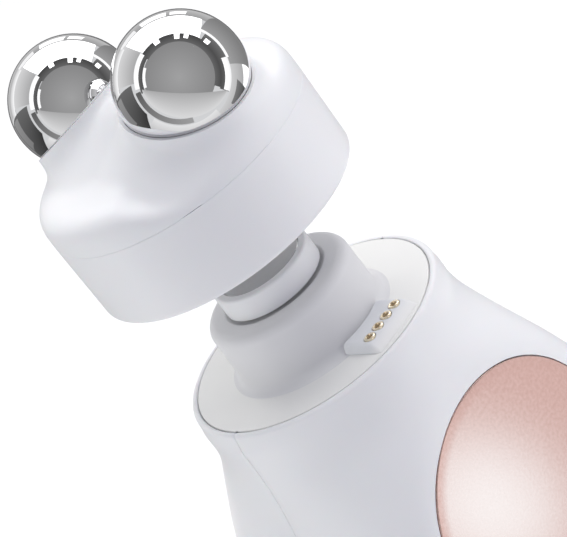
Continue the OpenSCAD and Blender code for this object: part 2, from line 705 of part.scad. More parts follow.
module inner_cup() {
    color([0.85, 0.85, 0.86]) on_attachment() difference() {
        rotate_extrude() polygon([[cup_in, web_z], [cup_out, web_z], [cup_out, cup_roof], [cup_out - 1, cup_roof + cup_roof_t],
            [0, cup_roof + cup_roof_t], [0, cup_roof], [cup_in - 0.6, cup_roof], [cup_in, cup_roof - 0.6]]);
        // the sockets of the balls reach down beside the roof
        for (s = [-1, 1]) translate([0, s * ball_y, ball_h]) sphere(r = cavity_r + socket_wall + fit);
        translate([0, 0, cup_roof + 0.5]) cylinder(r = cup_magnet_r + run, h = 5);
    }
}
module cup_magnet() {
    color([0.5, 0.5, 0.52]) on_attachment() translate([0, 0, cup_roof + 0.5]) cylinder(r = cup_magnet_r, h = cup_magnet_t);
}
module contact_carrier() {
    color([0.85, 0.85, 0.86]) on_attachment() difference() {
        translate([-carrier_l / 2, -pin_row_y - carrier_w / 2, carrier_z]) cube([carrier_l, carrier_w, web_z - carrier_z]);
        for (x = pin_x) translate([x, -pin_row_y, carrier_z - 1]) cylinder(r = 1, h = 1.4);
    }
}
module contact_pads() {
    color("gold") on_attachment() for (x = pin_x) translate([x, -pin_row_y, carrier_z - 0.25]) cylinder(r = 1, h = 0.65);
}
module skirt_screws() {
    color("silver") on_attachment() for (p = skirt_spots) translate([p[0], p[1], 0]) difference() {
        union() {
            translate([0, 0, web_z - 1]) cylinder(r = 1.8, h = 1);
            translate([0, 0, web_z - 0.5]) cylinder(r = skirt_screw_r - 0.1, h = skirt_h - web_z + 3.6);
        }
        translate([0, 0, web_z - 2]) cylinder(r = 0.7, h = 1.6);
    }
}

// ---- balls ----
ball_wall = 1.2;
bush_r = axle_r + 1.2;
hub_r = bush_r + 1.1;
ball_flat = cavity_r - 1.5;
hub_top = 4;
module ball() {
    difference() {
        union() {
            difference() {
                sphere(r = ball_r);
                sphere(r = ball_r - ball_wall);
            }
            translate([0, 0, -ball_r + 0.8]) cylinder(r = hub_r, h = hub_top + ball_r - 0.8 + 1.2);
        }
        translate([0, 0, -ball_r - 1]) cylinder(r = ball_r, h = ball_r + 1 - ball_flat);
        translate([0, 0, -ball_r - 1]) cylinder(r = bush_r, h = ball_r + 1 + hub_top);
    }
}
module front_ball() { color([0.85, 0.86, 0.88]) on_ball(-1) ball(); }
module rear_ball() { color([0.85, 0.86, 0.88]) on_ball(1) ball(); }
module bush() {
    translate([0, 0, -ball_flat]) difference() {
        cylinder(r = bush_r, h = ball_flat + hub_top - 0.2);
        translate([0, 0, -1]) cylinder(r = axle_r + run, h = 30);
    }
}
module front_bush() { color([0.3, 0.3, 0.32]) on_ball(-1) bush(); }
module rear_bush() { color([0.3, 0.3, 0.32]) on_ball(1) bush(); }
module axle() {
    translate([0, 0, -cavity_r - socket_wall + 0.1]) cylinder(r = axle_r, h = cavity_r + socket_wall + hub_top - 0.6);
    translate([0, 0, -cavity_r + 0.6]) cylinder(r = axle_r + 1.4, h = 0.5);
}
module front_axle() { color("silver") on_ball(-1) axle(); }
module rear_axle() { color("silver") on_ball(1) axle(); }

front_shell();
rear_shell();
front_disc();
rear_disc();
face_plate();
plate_gasket();
boot();
contact_block();
contact_sleeves();
contact_1();
contact_2();
contact_3();
contact_4();
chassis();
motor();
crank();
crank_bearing();
percussion_shaft();
collar();
collar_magnet();
guide_bush();
battery_cell();
battery_cradle();
main_board();
charging_socket();
control_bezel();
power_button();
mode_button();
tact_switches();
button_board();
indicator_lights();
shell_screws();
base_foot();
skirt();
lid();
inner_cup();
cup_magnet();
contact_carrier();
contact_pads();
skirt_screws();
front_ball();
rear_ball();
front_axle();
rear_axle();
front_bush();
rear_bush();
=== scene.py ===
import bpy
import json
import math
from mathutils import Matrix, Vector


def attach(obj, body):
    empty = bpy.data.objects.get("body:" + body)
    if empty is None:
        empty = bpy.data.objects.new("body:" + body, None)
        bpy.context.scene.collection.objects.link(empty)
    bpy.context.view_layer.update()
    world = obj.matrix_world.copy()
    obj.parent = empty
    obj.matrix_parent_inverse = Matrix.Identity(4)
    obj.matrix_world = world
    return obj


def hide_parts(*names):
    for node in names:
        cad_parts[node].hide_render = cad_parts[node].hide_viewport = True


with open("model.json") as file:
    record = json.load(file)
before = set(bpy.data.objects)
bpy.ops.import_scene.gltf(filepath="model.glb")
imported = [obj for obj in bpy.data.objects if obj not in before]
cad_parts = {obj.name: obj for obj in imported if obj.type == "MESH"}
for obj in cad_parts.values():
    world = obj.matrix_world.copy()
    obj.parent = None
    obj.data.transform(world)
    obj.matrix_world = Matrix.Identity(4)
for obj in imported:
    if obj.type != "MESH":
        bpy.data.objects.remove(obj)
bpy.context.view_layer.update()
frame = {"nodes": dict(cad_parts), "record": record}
nodes = frame["nodes"]
mm = 0.001
print("frame loaded:", len(nodes), "nodes")

# sizes that several pieces share, in millimetres, as in the part's source
shared = {
    "handleHeight": 92.0,
    "headRadius": 26.9,
    "discHeight": 50.0,
    "discRadius": 24.75,
    "discPocket": 1.25,
    "faceDepth": 27.9,
    "ballRadius": 12.05,
    "ballOut": 15.8,
    "ballUp": 31.3,
    "ballTilt": 20.0,
    "socketGap": 0.07,
    "attachmentLift": 28.0,
    "screwX": 19.0,
    "screwY": 7.0,
    "controlHeight": 61.0,
    "controlTilt": 18.0,
    "controlSunk": 0.4,
    "controlLegAt": 12.4,
    "inletHeight": 25.0,
}
top = shared["handleHeight"]
attachmentZ = top + shared["attachmentLift"]


# materials
def newMaterial(name):
    material = bpy.data.materials.new(name)
    material.use_nodes = True
    tree = material.node_tree
    return material, tree, tree.nodes["Principled BSDF"]


def setSockets(node, values):
    for socketName, value in values.items():
        node.inputs[socketName].default_value = value


def setTraits(thing, traits):
    for trait, value in traits.items():
        setattr(thing, trait, value)


def addNode(tree, kind, values=None, **traits):
    node = tree.nodes.new("ShaderNode" + kind)
    setTraits(node, traits)
    setSockets(node, values or {})
    return node


def join(tree, source, output, target, socket):
    tree.links.new(source.outputs[output], target.inputs[socket])


def objectNoise(tree, scale, detail, roughness=0.5, stretch=(1, 1, 1)):
    # a noise that stays with the piece, with its scale per metre
    coords = addNode(tree, "TexCoord")
    mapping = addNode(tree, "Mapping", {"Scale": stretch})
    noise = addNode(tree, "TexNoise", {"Scale": scale, "Detail": detail, "Roughness": roughness})
    join(tree, coords, "Object", mapping, "Vector")
    join(tree, mapping, "Vector", noise, "Vector")
    return noise


# the middle part of a noise, where most of it lies
noiseSpread = {"rough": (0.3, 0.7), "colour": (0.35, 0.65)}
mapEnds = ("From Min", "From Max", "To Min", "To Max")


def varied(tree, noise, shader, levels):
    spread = addNode(tree, "MapRange", dict(zip(mapEnds, (*noiseSpread["rough"], *levels))))
    join(tree, noise, "Fac", spread, "Value")
    join(tree, spread, "Result", shader, "Roughness")


def tinted(tree, noise, shader, colours):
    ramp = addNode(tree, "ValToRGB")
    for stop, position, colour in zip(ramp.color_ramp.elements, noiseSpread["colour"], colours):
        stop.position = position
        stop.color = (*colour, 1)
    join(tree, noise, "Fac", ramp, "Fac")
    join(tree, ramp, "Color", shader, "Base Color")


def paintedShadeFade(tree, shader, fade):
    # the colour goes over into another one along the piece's Y; the contact block uses this to lift its
    # painted shade to a lighter colour at its outer edge
    tint = shader.inputs["Base Color"].links[0].from_socket
    coords = addNode(tree, "TexCoord")
    parts = addNode(tree, "SeparateXYZ")
    ends = {"From Min": fade["starts"] * mm, "From Max": fade["ends"] * mm}
    spread = addNode(tree, "MapRange", ends, interpolation_type="SMOOTHSTEP")
    mix = addNode(tree, "Mix", data_type="RGBA")
    factor, first, second, result = mix.inputs[0], mix.inputs[6], mix.inputs[7], mix.outputs[2]
    second.default_value = (*fade["colour"], 1)
    join(tree, coords, "Object", parts, "Vector")
    join(tree, parts, "Y", spread, "Value")
    tree.links.new(spread.outputs["Result"], factor)
    tree.links.new(tint, first)
    tree.links.new(result, shader.inputs["Base Color"])


def bumped(tree, noise, shader, strength, depth):
    bump = addNode(tree, "Bump", {"Strength": strength, "Distance": depth * mm})
    join(tree, noise, "Fac", bump, "Height")
    join(tree, bump, "Normal", shader, "Normal")


# what a finish has when it says nothing else; its grain is a scale per metre, a strength and a depth in mm
plainFinish = {
    "metal": 0.0, "ior": 1.48, "coat": 0.0, "coatRough": 0.1, "sheen": 0.0, "sheenRough": 0.5,
    "soft": 0.0, "softReach": 1.5, "broadScale": 45, "broadDetail": 2,
    "grainDetail": 3, "grainRough": 0.6, "stretch": (1, 1, 1),
}
finishes = {
    "shell": {"colours": ((0.8, 0.805, 0.82), (0.812, 0.817, 0.83)), "rough": (0.36, 0.42),
              "grain": (5200, 0.12, 0.012), "coat": 0.12, "coatRough": 0.28, "soft": 0.06},
    "plate": {"colours": ((0.8, 0.8, 0.785), (0.82, 0.82, 0.8)), "rough": (0.3, 0.36),
              "grain": (5200, 0.08, 0.01), "coat": 0.1, "coatRough": 0.2},
    "boot": {"colours": ((0.71, 0.71, 0.72), (0.73, 0.73, 0.74)), "rough": (0.62, 0.7),
             "grain": (3600, 0.25, 0.02), "sheen": 0.25, "ior": 1.41},
    "foot": {"colours": ((0.55, 0.55, 0.57), (0.6, 0.6, 0.62)), "rough": (0.6, 0.7),
             "grain": (3200, 0.3, 0.02), "sheen": 0.2, "ior": 1.41},
    "gasket": {"colours": ((0.42, 0.42, 0.43), (0.46, 0.46, 0.47)), "rough": (0.6, 0.7),
               "grain": (3000, 0.2, 0.02)},
    "button": {"colours": ((0.74, 0.74, 0.76), (0.76, 0.76, 0.775)), "rough": (0.42, 0.5),
               "grain": (4800, 0.14, 0.012), "coat": 0.05},
    # painted shade: the contact block is a darker, bluer copy of the plate's finish, darkest near the boot
    # and going over into the plate's colour towards its outer edge
    "contactPaintedShade": {"colours": ((0.702, 0.714, 0.743), (0.737, 0.749, 0.772)), "rough": (0.5, 0.58),
                    "grain": (4200, 0.15, 0.012), "ior": 1.43,
                    "fade": {"starts": -21.3, "ends": -23.9, "colour": (0.83, 0.83, 0.82)}},
    "disc": {"colours": ((0.795, 0.56, 0.51), (0.845, 0.615, 0.565)), "metal": 1.0,
             "rough": (0.215, 0.265), "grain": (3000, 0.6, 0.016), "broadScale": 1500, "grainDetail": 4},
    "bronze": {"colours": ((0.5, 0.38, 0.24), (0.56, 0.43, 0.28)), "metal": 1.0, "rough": (0.25, 0.33),
               "grain": (5000, 0.05, 0.006)},
    "gold": {"colours": ((0.95, 0.84, 0.64), (0.97, 0.88, 0.7)), "metal": 1.0, "rough": (0.24, 0.32),
             "grain": (5000, 0.05, 0.006)},
    "ball": {"colours": ((0.8, 0.8, 0.81), (0.81, 0.81, 0.82)), "metal": 1.0, "rough": (0.02, 0.035),
             "grain": (2600, 0.01, 0.002)},
    "steel": {"colours": ((0.42, 0.42, 0.43), (0.5, 0.5, 0.51)), "metal": 1.0, "rough": (0.26, 0.38),
              "grain": (2500, 0.15, 0.01), "stretch": (1, 1, 12)},
    "frame": {"colours": ((0.05, 0.052, 0.056), (0.07, 0.072, 0.076)), "rough": (0.5, 0.62),
              "grain": (3000, 0.3, 0.02)},
    "bush": {"colours": ((0.5, 0.36, 0.17), (0.55, 0.4, 0.2)), "rough": (0.42, 0.5),
             "grain": (3000, 0.2, 0.02)},
    "board": {"colours": ((0.012, 0.12, 0.06), (0.02, 0.15, 0.075)), "rough": (0.35, 0.45),
              "grain": (1800, 0.3, 0.02)},
    "switch": {"colours": ((0.02, 0.02, 0.022), (0.035, 0.035, 0.037)), "rough": (0.35, 0.45),
               "grain": (3500, 0.15, 0.01)},
    "cell": {"colours": ((0.02, 0.14, 0.25), (0.03, 0.17, 0.29)), "rough": (0.28, 0.36),
             "grain": (900, 0.1, 0.02)},
    "magnet": {"colours": ((0.42, 0.42, 0.43), (0.47, 0.47, 0.48)), "metal": 1.0, "rough": (0.24, 0.32),
               "grain": (3200, 0.1, 0.008)},
    "bezel": {"colours": ((0.56, 0.56, 0.58), (0.59, 0.59, 0.61)), "rough": (0.34, 0.42),
              "grain": (5000, 0.15, 0.012), "coat": 0.1},
    "light": {"colours": ((0.8, 0.83, 0.86), (0.85, 0.87, 0.9)), "rough": (0.12, 0.18),
              "grain": (3000, 0.03, 0.005), "coat": 0.5},
}


def surface(name, finish):
    look = {**plainFinish, **finish}
    material, tree, shader = newMaterial(name)
    setSockets(shader, {
        "Metallic": look["metal"],
        "IOR": look["ior"],
        "Coat Weight": look["coat"],
        "Coat Roughness": look["coatRough"],
        "Sheen Weight": look["sheen"],
        "Sheen Roughness": look["sheenRough"],
        "Subsurface Weight": look["soft"],
        "Subsurface Scale": look["softReach"] * mm,
    })
    broad = objectNoise(tree, look["broadScale"], look["broadDetail"])
    scale, strength, depth = look["grain"]
    fine = objectNoise(tree, scale, look["grainDetail"], look["grainRough"], look["stretch"])
    tinted(tree, broad, shader, look["colours"])
    # painted shade that fades to a lighter colour along Y, where a finish has it
    if "fade" in look:
        paintedShadeFade(tree, shader, look["fade"])
    varied(tree, broad, shader, look["rough"])
    bumped(tree, fine, shader, strength, depth)
    return material


materials = {slot: surface(slot + "Finish", finish) for slot, finish in finishes.items()}
slotOfNode = {row["node"]: row["material_slot"] for row in frame["record"]["subparts"]}
for nodeName, node in nodes.items():
    node.data.materials.clear()
    node.data.materials.append(materials[slotOfNode[nodeName]])
print("materials made:", len(materials))


# modelling helpers
def deselectAll():
    if bpy.context.object and bpy.context.object.mode != "OBJECT":
        bpy.ops.object.mode_set(mode="OBJECT")
    bpy.ops.object.select_all(action="DESELECT")


def activate(piece):
    deselectAll()
    piece.select_set(True)
    bpy.context.view_layer.objects.active = piece


def named(name):
    # the primitive that was just added
    piece = bpy.context.object
    piece.name = name
    return piece


def selectAll():
    bpy.ops.mesh.select_all(action="SELECT")


def editAll(selecting="VERT"):
    bpy.ops.object.mode_set(mode="EDIT")
    bpy.ops.mesh.select_mode(type=selecting)
    selectAll()


def leaveEdit():
    bpy.ops.object.mode_set(mode="OBJECT")


def extrudeBy(x, y, z):
    bpy.ops.mesh.extrude_region_move(TRANSFORM_OT_translate={"value": (x * mm, y * mm, z * mm)})


def faceOutward():
    selectAll()
    bpy.ops.mesh.normals_make_consistent(inside=False)
    leaveEdit()


def arc(cx, cz, radius, startDeg, endDeg, steps):
    points = []
    for i in range(steps + 1):
        a = math.radians(startDeg + (endDeg - startDeg) * i / steps)
        points.append((cx + radius * math.cos(a), cz + radius * math.sin(a)))
    return points


def raised(points, height):
    return [(r, z + height) for r, z in points]


def closeFirstRing(piece, count, drop):
    # draws the ring that the shape began with in to a pole on the axis
    bpy.ops.mesh.select_all(action="DESELECT")
    leaveEdit()
    for v in piece.data.vertices[:count]:
        v.select = True
    bpy.ops.object.mode_set(mode="EDIT")
    bpy.ops.mesh.select_mode(type="VERT")
    extrudeBy(0, 0, drop)
    bpy.ops.mesh.merge(type="CENTER")


spin = {"onAxis": 1e-6, "mergeWithin": 0.0005}


def turned(name, profile, segments=128, closed=False, slide=0.0):
    # a profile of (radius, height) in mm, spun round Z by extruding and scaling a ring;
    # slide pulls the two halves apart along X into a long round-ended form
    deselectAll()
    profile = [*profile, profile[0]] if closed else profile
    rings = [p for p in profile if p[0] > spin["onAxis"]]
    bpy.ops.mesh.primitive_circle_add(vertices=segments, radius=rings[0][0] * mm, location=(0, 0, 0))
    piece = named(name)
    editAll()
    if slide:
        bpy.ops.transform.rotate(value=math.pi / segments, orient_axis="Z", center_override=(0, 0, 0))
    bpy.ops.transform.translate(value=(0, 0, rings[0][1] * mm))
    for (ra, za), (rb, zb) in zip(rings, rings[1:]):
        extrudeBy(0, 0, zb - za)
        bpy.ops.transform.resize(value=(rb / ra, rb / ra, 1), center_override=(0, 0, 0))
    if profile[-1][0] <= spin["onAxis"]:
        extrudeBy(0, 0, profile[-1][1] - rings[-1][1])
        bpy.ops.mesh.merge(type="CENTER")
    if profile[0][0] <= spin["onAxis"]:
        closeFirstRing(piece, segments, profile[0][1] - rings[0][1])
    if closed:
        selectAll()
        bpy.ops.mesh.remove_doubles(threshold=spin["mergeWithin"] * mm)
    faceOutward()
    for v in piece.data.vertices:
        if slide and abs(v.co.x) > spin["onAxis"] * mm:
            v.co.x += math.copysign(slide * mm, v.co.x)
    return piece


def drum(name, radius, low, high, segments=32, slide=0.0):
    return turned(name, [(0, low), (radius, low), (radius, high), (0, high)], segments, slide=slide)


def placed(piece, matrix):
    piece.data.transform(matrix)
    piece.data.update()
    return piece


def lifted(x, y, z, turn=None):
    matrix = Matrix.Translation(Vector((x, y, z)) * mm)
    return matrix @ turn if turn else matrix


def finished(piece, slot, body, replaced, angle=32, look=None):
    # smooth shading up to an angle, the finish, and the body that it rides on
    activate(piece)
    bpy.ops.object.shade_smooth_by_angle(angle=math.radians(angle))
    piece.data.materials.clear()
    piece.data.materials.append(materials[look or slot])
    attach(piece, body)
    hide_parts(*replaced)
    deselectAll()


def modified(piece, kind, **traits):
    activate(piece)
    modifier = piece.modifiers.new("change", kind)
    setTraits(modifier, traits)
    bpy.ops.object.modifier_apply(modifier=modifier.name)


def combined(piece, other, operation="DIFFERENCE"):
    modified(piece, "BOOLEAN", operation=operation, solver="MANIFOLD", object=other)
    bpy.data.objects.remove(other, do_unlink=True)


facingFront = Matrix.Rotation(math.radians(90), 4, "X")
facingRear = Matrix.Rotation(math.radians(-90), 4, "X")
facingRight = Matrix.Rotation(math.radians(90), 4, "Y")
facingLeft = Matrix.Rotation(math.radians(-90), 4, "Y")
facingFlank = Matrix.Rotation(math.radians(90 - shared["controlTilt"]), 4, "Y")


def discFrame(side, depth):
    facing = facingRear if side > 0 else facingFront
    return lifted(0, side * (shared["faceDepth"] - depth), shared["discHeight"], facing)


def ballFrame(side):
    tilt = Matrix.Rotation(math.radians(-side * shared["ballTilt"]), 4, "X")
    return lifted(0, side * shared["ballOut"], attachmentZ + shared["ballUp"], tilt)


def screwPlaces(z=0):
    return [lifted(shared["screwX"] * sx, shared["screwY"] * sy, z) for sx in (-1, 1) for sy in (-1, 1)]


# handle shells
handle = {
    "columnsPerCorner": 34, "columnsFlat": 10, "rowsLow": 30, "rowsUp": 56, "rowsRim": 6,
    "baseHalfX": 16.0, "baseHalfY": 12.0, "soleZ": 0.6, "soleSteps": (0, 0.3, 0.6, 0.85), "bulgePower": 2.4,
    "flank": 42.5, "widest": 26.0, "shoulderPower": 1.2,
    "neck": 27.5, "neckZ": 88.0, "waist": 26.5, "waistZ": 86.0,
    "faceBelow": 0.8, "faceAbove": 0.4,  # how far the flat face goes on past its disc
    "flatHalf": 20.0, "flatLeast": 0.8, "flatShare": 0.5, "flatEnds": 8.0, "flatFull": 4.0,
    # the power of a corner is 2 for an ellipse and more for a squarer form
    "cornerSole": 2.6, "cornerNeck": 2.0, "cornerFace": 3.2, "cornerFade": 12.0,
    "wall": 2.4, "innerRows": (*range(86, 13, -6), 9, 5), "innerSteps": (0.7, 0.35, 0),
    "rimRound": 0.8, "lipRadius": 25.75, "lipEdge": ((0.32, 0.0), (0.12, 0.07), (0.0, 0.25)),  # outward, down
    "seatZ": 89.8, "ledge": 1.6,
    "seamHalf": 0.03, "seamDrop": 0.07, "seamRun": 0.12,
    "mergeWithin": 0.002, "sliver": 0.001,
}
soleZ, widest, neckZ, waistZ = (handle[key] for key in ("soleZ", "widest", "neckZ", "waistZ"))
rimZ = top - handle["rimRound"]
faceLowZ = shared["discHeight"] - shared["discRadius"] - handle["faceBelow"]
faceHighZ = shared["discHeight"] + shared["discRadius"] + handle["faceAbove"]


def smoothStep(u):
    t = min(max(u, 0.0), 1.0)
    return t * t * (3 - 2 * t)


def bulge(z, level):
    power = handle["bulgePower"]
    return (1 - ((level - z) / (level - soleZ)) ** power) ** (1 / power)


def rimCut(z):
    r = handle["rimRound"]
    into = z - top + r
    return 0.0 if into <= 0 else r - math.sqrt(max(0.0, r * r - into * into))


def halfWidth(z):
    base, flank, neck = handle["baseHalfX"], handle["flank"], handle["neck"]
    if z < widest:
        return base + (flank - base) * bulge(z, widest)
    if z < neckZ:
        return neck + (flank - neck) * smoothStep(((neckZ - z) / (neckZ - widest)) ** handle["shoulderPower"])
    return neck - (neck - shared["headRadius"]) * smoothStep((z - neckZ) / (rimZ - neckZ)) - rimCut(z)


def halfDepth(z):
    base, face, waist = handle["baseHalfY"], shared["faceDepth"], handle["waist"]
    if z < faceLowZ:
        return base + (face - base) * bulge(z, faceLowZ)
    if z < waistZ:
        return waist + (face - waist) * smoothStep((waistZ - z) / (waistZ - faceHighZ))
    return waist + (shared["headRadius"] - waist) * smoothStep((z - waistZ) / (rimZ - waistZ)) - rimCut(z)


def flatLength(z):
    if z < widest:
        return min(handle["flatHalf"], halfWidth(z) * handle["flatShare"])
    ends, full = top - handle["flatEnds"], shared["discHeight"] + handle["flatFull"]
    return max(handle["flatLeast"], handle["flatHalf"] * smoothStep((ends - z) / (ends - full)))


def cornerPower(z):
    sole, neck, face = handle["cornerSole"], handle["cornerNeck"], handle["cornerFace"]
    if z < faceLowZ:
        return sole + (face - sole) * smoothStep(z / faceLowZ)
    u = (waistZ - z) / (waistZ - shared["discHeight"] - handle["cornerFade"])
    return neck + (face - neck) * smoothStep(u)


def sectionRow(z, inset, side, squeeze=1.0):
    # one row of a half, from the seam at -X to the seam at +X
    w = halfWidth(z) - inset
    d = halfDepth(z) - inset
    f = min(flatLength(z), w - 1)
    c = 2 / cornerPower(z)
    count, flat, low = handle["columnsPerCorner"], handle["columnsFlat"], handle["seamHalf"]
    quarter = [(w - handle["seamDrop"], low), (w, low + handle["seamRun"])]
    for j in range(1, count + 1):
        t = math.radians(90 * j / count)
        quarter.append((f + (w - f) * math.cos(t) ** c, d * math.sin(t) ** c))
    middle = [(f * (2 * j / flat - 1), d) for j in range(1, flat)]
    row = [(-x, y) for x, y in quarter] + middle + quarter[::-1]
    return [(x, side * max(y * squeeze, low)) for x, y in row]


def roundRow(radius, side):
    row = []
    for x, y in sectionRow(top - 0.01, 0, side):
        a = math.atan2(abs(y), x)
        row.append((radius * math.cos(a), side * max(radius * math.sin(a), handle["seamHalf"])))
    return row


def shellRows(side):
    # from the middle of the sole up the outside, over the rim and down the inside
    wall, lip, seatZ, floorZ = handle["wall"], handle["lipRadius"], handle["seatZ"], soleZ + handle["wall"]
    low, up, rim = handle["rowsLow"], handle["rowsUp"], handle["rowsRim"]
    heights = [soleZ + (widest - soleZ) * (1 - math.cos(math.radians(90 * i / low))) for i in range(low)]
    heights += [widest + (rimZ - widest) * i / up for i in range(up + 1)]
    heights += [rimZ + handle["rimRound"] * math.sin(math.radians(90 * i / rim)) for i in range(1, rim + 1)]
    rows = [(soleZ, sectionRow(soleZ, 0, side, s)) for s in handle["soleSteps"]]
    rows += [(z, sectionRow(z, 0, side)) for z in heights]
    rows += [(top - down, roundRow(lip + outward, side)) for outward, down in handle["lipEdge"]]
    rows += [(seatZ, roundRow(lip, side)), (seatZ, roundRow(lip - handle["ledge"], side))]
    for z in (*handle["innerRows"], floorZ):
        rows.append((z, sectionRow(max(z - wall * (1 - z / top), soleZ), wall, side)))
    rows += [(floorZ, sectionRow(soleZ, wall, side, s)) for s in handle["innerSteps"]]
    return rows


def shellForm(name, side):
    # a grid drawn on to the rows; one face closes its open edge along the seam
    rows = shellRows(side)
    columns = len(rows[0][1])
    deselectAll()
    bpy.ops.mesh.primitive_grid_add(x_subdivisions=columns - 1, y_subdivisions=len(rows) - 1, size=2)
    piece = named(name)
    for v in piece.data.vertices:
        column = round((v.co.x + 1) / 2 * (columns - 1))
        z, line = rows[round((v.co.y + 1) / 2 * (len(rows) - 1))]
        v.co = Vector((*line[column], z)) * mm
    editAll("EDGE")
    bpy.ops.mesh.select_all(action="DESELECT")
    bpy.ops.mesh.select_non_manifold(
        extend=False, use_wire=False, use_multi_face=False, use_non_contiguous=False, use_verts=False)
    bpy.ops.mesh.edge_face_add()
    selectAll()
    bpy.ops.mesh.remove_doubles(threshold=handle["mergeWithin"] * mm)
    bpy.ops.mesh.dissolve_degenerate(threshold=handle["sliver"] * mm)
    faceOutward()
    return piece


# what is cut out of the shells for the discs, the control strip, the charging inlet and the foot
cuts = {
    "discClear": 0.2, "discEdge": 0.15, "edgeFrom": -0.11, "edgeTo": 0.04, "reach": 4.0,
    "strip": 6.1, "stripFrom": -1.4, "stripTo": 6.0, "stripSlide": 8.5,
    "stems": ((-5.6, 2.2), (4.4, 2.2), (-shared["controlLegAt"], 1.3), (shared["controlLegAt"], 1.3)),
    "stemFrom": -9.0, "inlet": 4.5, "inletFrom": -10.0,
    "foot": 8.1, "footFrom": -1.0, "footTo": 1.6, "footSlide": 5.0,
}
stripAt = halfWidth(shared["controlHeight"]) - shared["controlSunk"]
strip = lifted(stripAt, 0, shared["controlHeight"], facingFlank)


def handleHalf(name, side, node):
    piece = shellForm(name, side)
    low, r, reach = -shared["discPocket"], shared["discRadius"] + cuts["discClear"], cuts["reach"]
    wide = r + cuts["discEdge"]
    profile = [(0, low), (r, low), (r, cuts["edgeFrom"]), (wide, cuts["edgeTo"]), (wide, reach), (0, reach)]
    combined(piece, placed(turned("discPocket", profile, 192), discFrame(side, 0)))
    cutter = drum("stripPocket", cuts["strip"], cuts["stripFrom"], cuts["stripTo"], 96, cuts["stripSlide"])
    combined(piece, placed(cutter, strip))
    for x, stem in cuts["stems"]:
        combined(piece, placed(drum("stemHole", stem, cuts["stemFrom"], 0, 48), strip @ lifted(x, 0, 0)))
    cutter = drum("inletHole", cuts["inlet"], cuts["inletFrom"], reach, 64)
    combined(piece, placed(cutter, lifted(handle["flank"], 0, shared["inletHeight"], facingRight)))
    combined(piece, drum("footRecess", cuts["foot"], cuts["footFrom"], cuts["footTo"], 96, cuts["footSlide"]))
    finished(piece, "shell", "handle", [node])


handleHalf("handleShellFront", -1, "front_shell")
handleHalf("handleShellRear", 1, "rear_shell")
print("handle shells made")

# discs in the faces
discs = {"depth": 1.2, "lowEdge": 0.1, "edge": 0.22, "dome": 0.29, "rings": 10}


def discPiece(name, side, node):
    r, t, low, edge = shared["discRadius"], discs["depth"], discs["lowEdge"], discs["edge"]
    inner = r - edge
    profile = [(0, 0), (r - low, 0), (r, low), (r, t - edge)] + arc(inner, t - edge, edge, 20, 90, 3)
    for i in range(1, discs["rings"]):
        x = inner * (1 - i / discs["rings"])
        profile.append((x, t + discs["dome"] * (1 - (x / inner) ** 2)))
    profile.append((0, t + discs["dome"]))
    piece = placed(turned(name, profile, 192), discFrame(side, shared["discPocket"]))
    finished(piece, "disc", "handle", [node])


discPiece("faceDiscFront", -1, "front_disc")
discPiece("faceDiscRear", 1, "rear_disc")

# four sprung contacts in a row, each in its sleeve; the lip is given from the sleeve's top
contacts = {
    "bodies": ("contact_one", "contact_two", "contact_three", "contact_four"), "pitch": 2.8, "row": -20.9,
    "hole": 1.25, "holeFrom": -4.0, "sleeve": 1.15, "bore": 0.6, "sleeveTop": 2.1, "sleeveFoot": -4.8,
    "lip": ((0.6, -0.12), (0.7, 0.02), (0.78, 0.04), (1.0, 0.04), (1.12, -0.04), (1.15, -0.14)),
    "tip": 0.42, "tipRadius": 0.5, "tipFoot": -3.7,
}


def atContact(k):
    middle = (len(contacts["bodies"]) - 1) / 2
    return lifted((k - middle) * contacts["pitch"], contacts["row"], 0)


def sleeveHoles(piece, above):
    for k in range(len(contacts["bodies"])):
        hole = drum("sleeveHole", contacts["hole"], top + contacts["holeFrom"], top + above)
        combined(piece, placed(hole, atContact(k)))


# face plate and its gasket
plate = {"radius": 25.52, "depth": 2.2, "edge": 0.15, "hole": 13.3, "holeEdge": 0.2,
         "gasketFrom": 25.54, "gasketTo": 25.73, "gasketDrop": 0.45}
pr, pe, hole, plateFoot = plate["radius"], plate["edge"], plate["hole"], top - plate["depth"]
profile = [(hole, plateFoot), (pr, plateFoot), (pr, top - pe)] + arc(pr - pe, top - pe, pe, 30, 90, 2)
profile += [(hole + plate["holeEdge"], top), (hole, top - plate["holeEdge"])]
facePlate = turned("facePlate", profile, 192, closed=True)
sleeveHoles(facePlate, 2)
finished(facePlate, "plate", "handle", ["face_plate"])
inner, outer, upper = plate["gasketFrom"], plate["gasketTo"], top - plate["gasketDrop"]
profile = [(inner, plateFoot), (outer, plateFoot), (outer, upper), (inner, upper)]
finished(turned("plateGasket", profile, 192, closed=True), "gasket", "handle", ["plate_gasket"])

# soft boot: its mouth and inside are given from its top, its foot from the plate
boot = {
    "radius": 15.4, "height": 12.4, "round": 2.0, "taper": 0.12,
    "flare": 2.0, "flareUp": 2.02, "flareEnd": 0.1,
    "mouth": ((4.6, -1.9), (4.6, -0.6), (9.6, -0.55), (10.45, -0.4), (10.75, -0.08), (11.1, 0)),
    "side": ((0.1, 7.9), (0.03, 4.0)),  # inward, up
    "foot": ((13.2, 0), (13.2, -3), (11.4, -3)),
    "inside": ((11.4, -3.6), (10, -1.9)),
}
br, bh, rr, flare = boot["radius"], top + boot["height"], boot["round"], boot["flare"]
profile = raised(boot["mouth"], bh) + arc(br - rr - boot["taper"], bh - rr, rr, 90, 4, 9)
profile += [(br - inward, top + up) for inward, up in boot["side"]]
profile += arc(br + flare, top + boot["flareUp"], flare, 180, 266, 10)
profile += [(br + flare - boot["flareEnd"], top)] + raised(boot["foot"], top) + raised(boot["inside"], bh)
finished(turned("softBoot", profile, 160, closed=True), "boot", "handle", ["boot"], angle=50)

